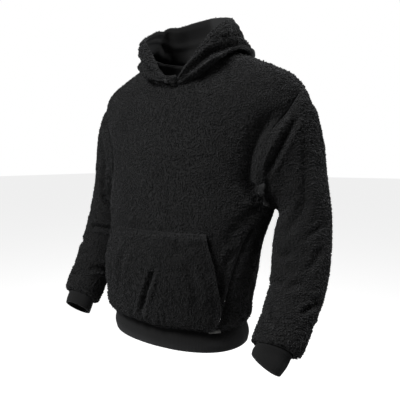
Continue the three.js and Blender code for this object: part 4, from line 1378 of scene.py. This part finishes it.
@dataclass
class Ribbing:
    """The ribbed cuffs and hem band: wales that stand out along the tube.

    Attributes:
        wale: from one wale to the next, round the tube.
        relief: how high a wale stands.
        points_per_wale: how finely one is divided.
    """

    wale: float = 3.1
    relief: float = 0.4
    points_per_wale: int = 4

    def tube(
        self, name: str, surface: Callable[[np.ndarray, np.ndarray], np.ndarray], girth: float, levels: np.ndarray
    ) -> Cloth:
        """Works out one ribbed tube.

        Args:
            name: the piece's name.
            surface: its surface, as a function of the angle and the level.
            girth: its length round.
            levels: the levels of its rows.

        Returns:
            The wall of cloth, with its wales.
        """
        wales = round(girth / self.wale)
        turn = np.linspace(0, 2 * math.pi, wales * self.points_per_wale, endpoint=False)
        u, v = np.meshgrid(turn, levels)
        points = surface(u, v)
        sign = Sleeve.sign(points)
        points = points + normals_of(points, sign, True) * (lumps(points, 36.0, 71) * 0.9)[..., None]
        _, inner = walled(points, sign, True, RIB_WALL, None)
        lengths = np.linalg.norm(np.roll(points, -1, axis=1) - points, axis=2)
        around = np.cumsum(lengths, axis=1) / lengths.sum(axis=1, keepdims=True)
        wave = np.cos(2 * math.pi * wales * around) - 0.5
        outer = points + normals_of(points, sign, True) * (self.relief * wave)[..., None]
        return Cloth(name, outer, inner, sign, True)

    def build(self, shop: Workshop) -> None:
        """Makes the hem band and both cuffs."""
        band = self.tube("hem_band_rib", self.gathered, 930.0, np.linspace(-700, -646.3, 11))
        self.dress(shop, band, "hem_band", Cut(920, 54, 1.0, "stretched"))
        for side, node in ((1, "cuff_left"), (-1, "cuff_right")):
            cuff = self.tube(
                node + "_rib", lambda u, v: on_arm(side, cuff_point(side, u, v)), 216.0, np.linspace(0, 1, 8)
            )
            self.dress(shop, cuff, node, Cut(216, 30, 1.0, "stretched"))

    @staticmethod
    def gathered(turn: np.ndarray, z: np.ndarray) -> np.ndarray:
        """Returns the hem band's surface, drawn in towards its seam."""
        points = band_point(turn, z)
        inward = normals_of(points, Sleeve.sign(points), True)
        return points - inward * (6.0 * smooth(-684, -652, z))[..., None]

    @staticmethod
    def dress(shop: Workshop, cloth: Cloth, node: str, cut: Cut) -> None:
        shell = cloth.shell()
        shell.data.materials.append(shop.wardrobe.rib)
        shell.data.materials.append(shop.wardrobe.rib)
        declare(shell, node)
        LOG.info("%s: %d faces", cloth.name, len(shell.data.polygons))


@dataclass
class Pocket:
    """The kangaroo pocket, sewn down on top and along the hem, and open at its slanted sides.

    Attributes:
        columns, rows: how finely it is divided.
        hem: how far it runs down over the band.
        inset: how far the stitching lies within its edges, as a share of its half width.
    """

    columns: int = 76
    rows: int = 56
    hem: float = 1.0
    inset: float = 0.95
    CREASES: tuple[Crease, ...] = (
        Crease(((0.23, -500), (0.17, -528), (0.10, -556), (0.03, -584), (-0.04, -610), (-0.09, -634)), 7.0, 6.0, 0.6),
        Crease(((-0.47, -486), (-0.46, -516), (-0.46, -545), (-0.50, -596)), 4.5, 9.0),
        Crease(((0.27, -640), (0.26, -628), (0.25, -614)), 4.0, 4.0, 0.5),
        Crease(((0.36, -636), (0.34, -620), (0.33, -602)), 3.0, 4.0, 0.5),
        Crease(((-0.03, -642), (-0.02, -630), (-0.04, -618)), 3.0, 4.0, 0.5),
        Crease(((-0.22, -640), (-0.24, -626), (-0.23, -614)), 3.0, 5.0, 0.5),
        Crease(((0.62, -500), (0.72, -530), (0.76, -566), (0.74, -600)), 3.5, 9.0),
        Crease(((-0.76, -500), (-0.70, -540), (-0.72, -580)), 3.5, 8.0),
        Crease(((0.48, -456), (0.56, -470), (0.62, -490)), 2.5, 6.0),
    )

    def surface(self, share: np.ndarray, z: np.ndarray) -> np.ndarray:
        """Returns the pocket's outer surface, from the front's own points moved out."""
        under = pocket_point(share, z)
        step = 0.01
        across = pocket_point(share + step, z) - pocket_point(share - step, z)
        along = pocket_point(share, z + 1) - pocket_point(share, z - 1)
        normal = unit(np.cross(across, along))
        normal *= np.where(normal[..., 1] > 0, -1, 1)[..., None]
        flatter = 1 - 0.35 * np.abs(share) ** 4
        stand = POCKET_STAND + POCKET.read("bulge", z) * flatter
        return under + normal * np.asarray(stand)[..., None]

    def build(self, shop: Workshop) -> None:
        """Makes the pocket, its pile and its stitching."""
        share = np.linspace(-1, 1, self.columns)
        z = np.linspace(POCKET.places[0] - self.hem, POCKET.places[-1], self.rows)
        u, v = np.meshgrid(share, z)
        points = self.surface(u, v)
        normals = normals_of(points, 1, False)
        shift = swells(points, 51) * 0.7 + 2.2
        for crease in self.CREASES:
            shift = shift + crease.shift(points, self.surface)
        shift -= 3.4 * np.exp(-(((POCKET.places[-1] - v) / 6.0) ** 2))
        shift += 2.0 * np.exp(-(((POCKET.places[-1] - 13 - v) / 6.0) ** 2))
        shift += 1.6 * smooth(0.93, 0.98, np.abs(u)) - 2.0 * np.exp(-(((np.abs(u) - self.inset) / 0.02) ** 2))
        shift += smooth(-600, -636, v) * 5.5
        points = points + normals * shift[..., None]
        points[..., 2] -= smooth(-610, -642, v) * (0.5 + 3.5 * lumps(points * np.array([1, 1, 0.01]), 30.0, 6))
        outer, inner = walled(points, 1, False, PILE_BACK, 151)
        shop.finish(Cloth("pocket_patch", outer, inner, 1), "pocket", 1.0, 52)
        self.sew(shop)

    def sew(self, shop: Workshop) -> None:
        """Stitches the pocket's top and its two open edges."""
        line = np.linspace(-self.inset, self.inset, 160)
        heights = np.linspace(-612, -446, 60)
        lines = [self.surface(line, np.full_like(line, -443.0))]
        lines += [self.surface(np.full_like(heights, end), heights) for end in (-self.inset, self.inset)]
        sewn = shop.stitches.sew([points + np.array([0, 0.6, 0]) for points in lines], "pocket_stitches")
        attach(sewn, "root")


@dataclass
class Hood:
    """The hood, standing round the neck as a cowl, whose right half laps over its left in front.

    Attributes:
        columns, rows: how finely a half is divided.
        lap: how far each half runs past the middle in front, in degrees, right and left.
        edge: share of the profile that is turned in, marked by a groove where it ends.
        turned: how much thicker the turned edge is.
        rim_lift: how much higher the right half's rim stands over the shoulder.
    """

    columns: int = 112
    rows: int = 64
    dip: float = 0.4
    lap: tuple[float, float] = (7.0, 0.0)
    edge: float = 0.2
    turned: float = 3.0
    rim_lift: float = 14.0
    VALLEY: tuple[tuple[float, float], ...] = (
        (2, 0.42), (14, 0.50), (28, 0.54), (46, 0.54), (64, 0.50), (82, 0.47), (106, 0.45), (140, 0.47), (178, 0.46))
    LEFT_CREASES: tuple[Crease, ...] = (
        Crease(VALLEY, 8.0, 7.0, 0.5),
        Crease(((30, 0.22), (46, 0.30), (60, 0.24)), 3.0, 6.0),
        Crease(((96, 0.72), (112, 0.64), (126, 0.60)), 4.0, 8.0),
        Crease(((140, 0.30), (150, 0.36), (166, 0.30)), 4.0, 8.0),
        Crease(((58, 0.66), (74, 0.62), (90, 0.66)), 3.0, 6.0),
    )
    RIGHT_CREASES: tuple[Crease, ...] = (
        Crease(VALLEY, 7.0, 7.0, 0.5),
        Crease(((88, 0.70), (106, 0.62), (124, 0.64)), 4.0, 8.0),
        Crease(((34, 0.24), (52, 0.30), (70, 0.26)), 3.0, 6.0),
        Crease(((132, 0.28), (148, 0.34), (164, 0.32)), 4.0, 8.0),
    )

    def half(self, side: int) -> Cloth:
        """Works out one half.

        Args:
            side: 1 for the wearer's left and -1 for the right.

        Returns:
            The wall of cloth, thicker at its turned edge.
        """
        angle = np.linspace(-self.lap[0] if side < 0 else -self.lap[1], 180, self.columns)
        share = np.linspace(0, 1, self.rows)
        u, v = np.meshgrid(angle, share)
        points = hood_point(side, u, v)
        normals = normals_of(points, side, False)
        shift = smooth(0, 0.1, v) * smooth(182, 170, u) * swells(points, 61 + side)
        for crease in self.LEFT_CREASES if side > 0 else self.RIGHT_CREASES:
            shift = shift + crease.shift(points, lambda a, b: hood_point(side, a, b))
        shift -= 2.2 * np.exp(-(((v - 1 + self.edge) / 0.035) ** 2))
        shift -= 2.2 * np.exp(-(((180 - u) / 2.5) ** 2))
        shift += 2.5 * smooth(0.03, 0.2, v) * smooth(0.45, 0.3, v)
        points = points + normals * shift[..., None]
        if side < 0:
            points[..., 2] += self.rim_lift * np.exp(-(((u - 101) / 18) ** 2)) * smooth(0.4, 1, v)
            points[..., 2] += 7.0 * np.exp(-(((u - 38) / 16) ** 2)) * smooth(0.4, 1, v)
        foot = hood_point(side, u, 0)[..., 2]
        points[..., 2] -= self.dip * (points[..., 2] - foot) * smooth(24, 4, u)
        sunk = PILE_ROOT * smooth(0.0, 0.12, v)
        wall = PILE_BACK - PILE_ROOT + self.turned * smooth(0.7 - self.edge, 1.03 - self.edge, v)
        wall = sunk + wall * (1 - 0.45 * smooth(0.95, 1.0, v))
        outer, inner = walled(points, side, False, wall, 161 + side, sunk)
        return Cloth("hood_left_half" if side > 0 else "hood_right_half", outer, inner, side)

    def build(self, shop: Workshop) -> None:
        """Makes both halves with their pile."""
        for side, node, seed in ((1, "hood_left", 63), (-1, "hood_right", 64)):
            shop.finish(self.half(side), node, 1.0, seed)


@dataclass
class HemTab:
    """The blank tab let into the seam above the hem band.

    Attributes:
        start, end: its ends, in degrees round the band from the middle of the front.
        top, bottom: its heights.
        stand: how far it stands off the band.
    """

    start: float = 47.0
    end: float = 58.0
    top: float = -647.0
    bottom: float = -656.5
    stand: float = 3.0

    def build(self, shop: Workshop) -> None:
        """Makes the tab."""
        turn = np.radians(np.linspace(self.start, self.end, 16))
        u, v = np.meshgrid(turn, np.linspace(self.bottom, self.top, 8))
        points = band_point(u, v)
        points = points + normals_of(points, 1, False) * (self.stand + 2 * smooth(self.top, self.bottom, v))[..., None]
        outer, inner = walled(points, 1, False, 0.9, None)
        shell = Cloth("hem_tab_tape", outer, inner, 1).shell()
        shell.data.materials.append(shop.wardrobe.tape)
        shell.data.materials.append(shop.wardrobe.tape)
        declare(shell, "hem_tab")


@dataclass
class Studio:
    """The camera at the photograph's angle, a pale floor and soft light.

    Attributes:
        turn: how far the camera stands round to the wearer's left of straight ahead, in degrees.
        rise: how far it looks down, in degrees.
        distance: from the aim to the camera, in metres.
        aim_height, aim_shift: where it aims, in metres, on the neck's own line and across the view.
        lens: in millimetres, on a sensor 36 mm wide.
    """

    turn: float = 32.0
    rise: float = 5.3
    distance: float = 1.057
    aim_height: float = -0.387
    aim_shift: float = 0.0171
    lens: float = 37.5
    floor_z: float = -1.45

    def axes(self) -> tuple[Vector, Vector]:
        """Returns the way from the aim to the camera, and the view's right."""
        turn, rise = math.radians(self.turn), math.radians(self.rise)
        back = Vector((math.sin(turn) * math.cos(rise), -math.cos(turn) * math.cos(rise), math.sin(rise)))
        right = Vector((math.cos(turn), math.sin(turn), 0.0))
        return back, right

    def camera(self) -> None:
        """Places the camera."""
        back, right = self.axes()
        aim = Vector((0.0, 0.0, self.aim_height)) + right * self.aim_shift
        data = bpy.data.cameras.new("camera")
        data.lens = self.lens
        data.sensor_width = 36.0
        data.clip_end = 60.0
        camera = bpy.data.objects.new("camera", data)
        camera.location = aim + back * self.distance
        camera.rotation_euler = (-back).to_track_quat("-Z", "Y").to_euler()
        bpy.context.scene.collection.objects.link(camera)
        bpy.context.scene.camera = camera

    def light(self, name: str, offset: tuple[float, float, float], size: float, power: float) -> None:
        """Places one soft square light.

        Args:
            name: its name.
            offset: how far it stands from the aim to the view's right, up, and towards the camera, in metres.
            size: the side of the square.
            power: in watts.
        """
        back, right = self.axes()
        aim = Vector((0.0, 0.0, self.aim_height))
        data = bpy.data.lights.new(name, "AREA")
        data.size = size
        data.energy = power
        lamp = bpy.data.objects.new(name, data)
        lamp.location = aim + right * offset[0] + Vector((0, 0, offset[1])) + back * offset[2]
        lamp.rotation_euler = (lamp.location - aim).to_track_quat("Z", "Y").to_euler()
        bpy.context.scene.collection.objects.link(lamp)

    def floor(self, seen: float, cast: float) -> None:
        """Lays the pale floor far below, as under someone standing.

        Args:
            seen: how much brighter than its own colour it looks.
            cast: how much light of its own it gives.
        """
        half = 30.0 / MM
        points = np.array([(-half, -half, 0), (half, -half, 0), (half, half, 0), (-half, half, 0)], float)
        points[:, 2] = self.floor_z / MM
        floor = mesh_object("floor", points, np.array([[0, 1, 2, 3]]))
        material = bpy.data.materials.new("pale_floor")
        material.use_nodes = True
        shader = material.node_tree.nodes["Principled BSDF"]
        shader.inputs["Base Color"].default_value = (0.65, 0.65, 0.65, 1.0)
        shader.inputs["Roughness"].default_value = 1.0
        shader.inputs["Emission Color"].default_value = (1.0, 1.0, 1.0, 1.0)
        nodes = Nodes(material.node_tree)
        path = nodes.add("ShaderNodeLightPath")
        glow = nodes.add("ShaderNodeMapRange")
        glow.inputs["To Min"].default_value = cast
        glow.inputs["To Max"].default_value = seen
        nodes.join(path.outputs["Is Camera Ray"], glow.inputs["Value"])
        nodes.join(glow.outputs["Result"], shader.inputs["Emission Strength"])
        floor.data.materials.append(material)

    def world(self, seen: float, cast: float) -> None:
        """Makes the white surroundings.

        Args:
            seen: how bright they look.
            cast: how much light they give.
        """
        world = bpy.data.worlds.new("studio")
        world.use_nodes = True
        nodes = Nodes(world.node_tree)
        sky = world.node_tree.nodes["Background"]
        sky.inputs["Color"].default_value = (1.0, 1.0, 1.0, 1.0)
        path = nodes.add("ShaderNodeLightPath")
        strength = nodes.add("ShaderNodeMapRange")
        strength.inputs["To Min"].default_value = cast
        strength.inputs["To Max"].default_value = seen
        nodes.join(path.outputs["Is Camera Ray"], strength.inputs["Value"])
        nodes.join(strength.outputs["Result"], sky.inputs["Strength"])
        bpy.context.scene.world = world

    def build(self) -> None:
        """Builds the studio."""
        bpy.context.scene.view_settings.view_transform = "Standard"
        self.camera()
        self.floor(0.85, 0.02)
        self.world(1.0, 0.02)
        self.light("key", (-1.35, 1.5, 1.2), 0.8, 67.0)
        self.light("side", (1.8, 0.4, -0.65), 0.8, 16.0)
        self.light("top", (1.3, 1.8, 0.25), 0.9, 34.0)


def main() -> None:
    """Builds the studio, then each sub-assembly."""
    logging.basicConfig(level=logging.INFO, format="%(name)s: %(message)s")
    Studio().build()
    wardrobe = Wardrobe()
    shop = Workshop(wardrobe, PileMaker(wardrobe.pile), StitchMaker(wardrobe.thread))
    Body().build(shop)
    for side in (1, -1):
        Sleeve(side).build(shop)
    Ribbing().build(shop)
    Pocket().build(shop)
    Hood().build(shop)
    HemTab().build(shop)
    shop.pile.put_away()
    shop.stitches.put_away()


if __name__ == "__main__": main()
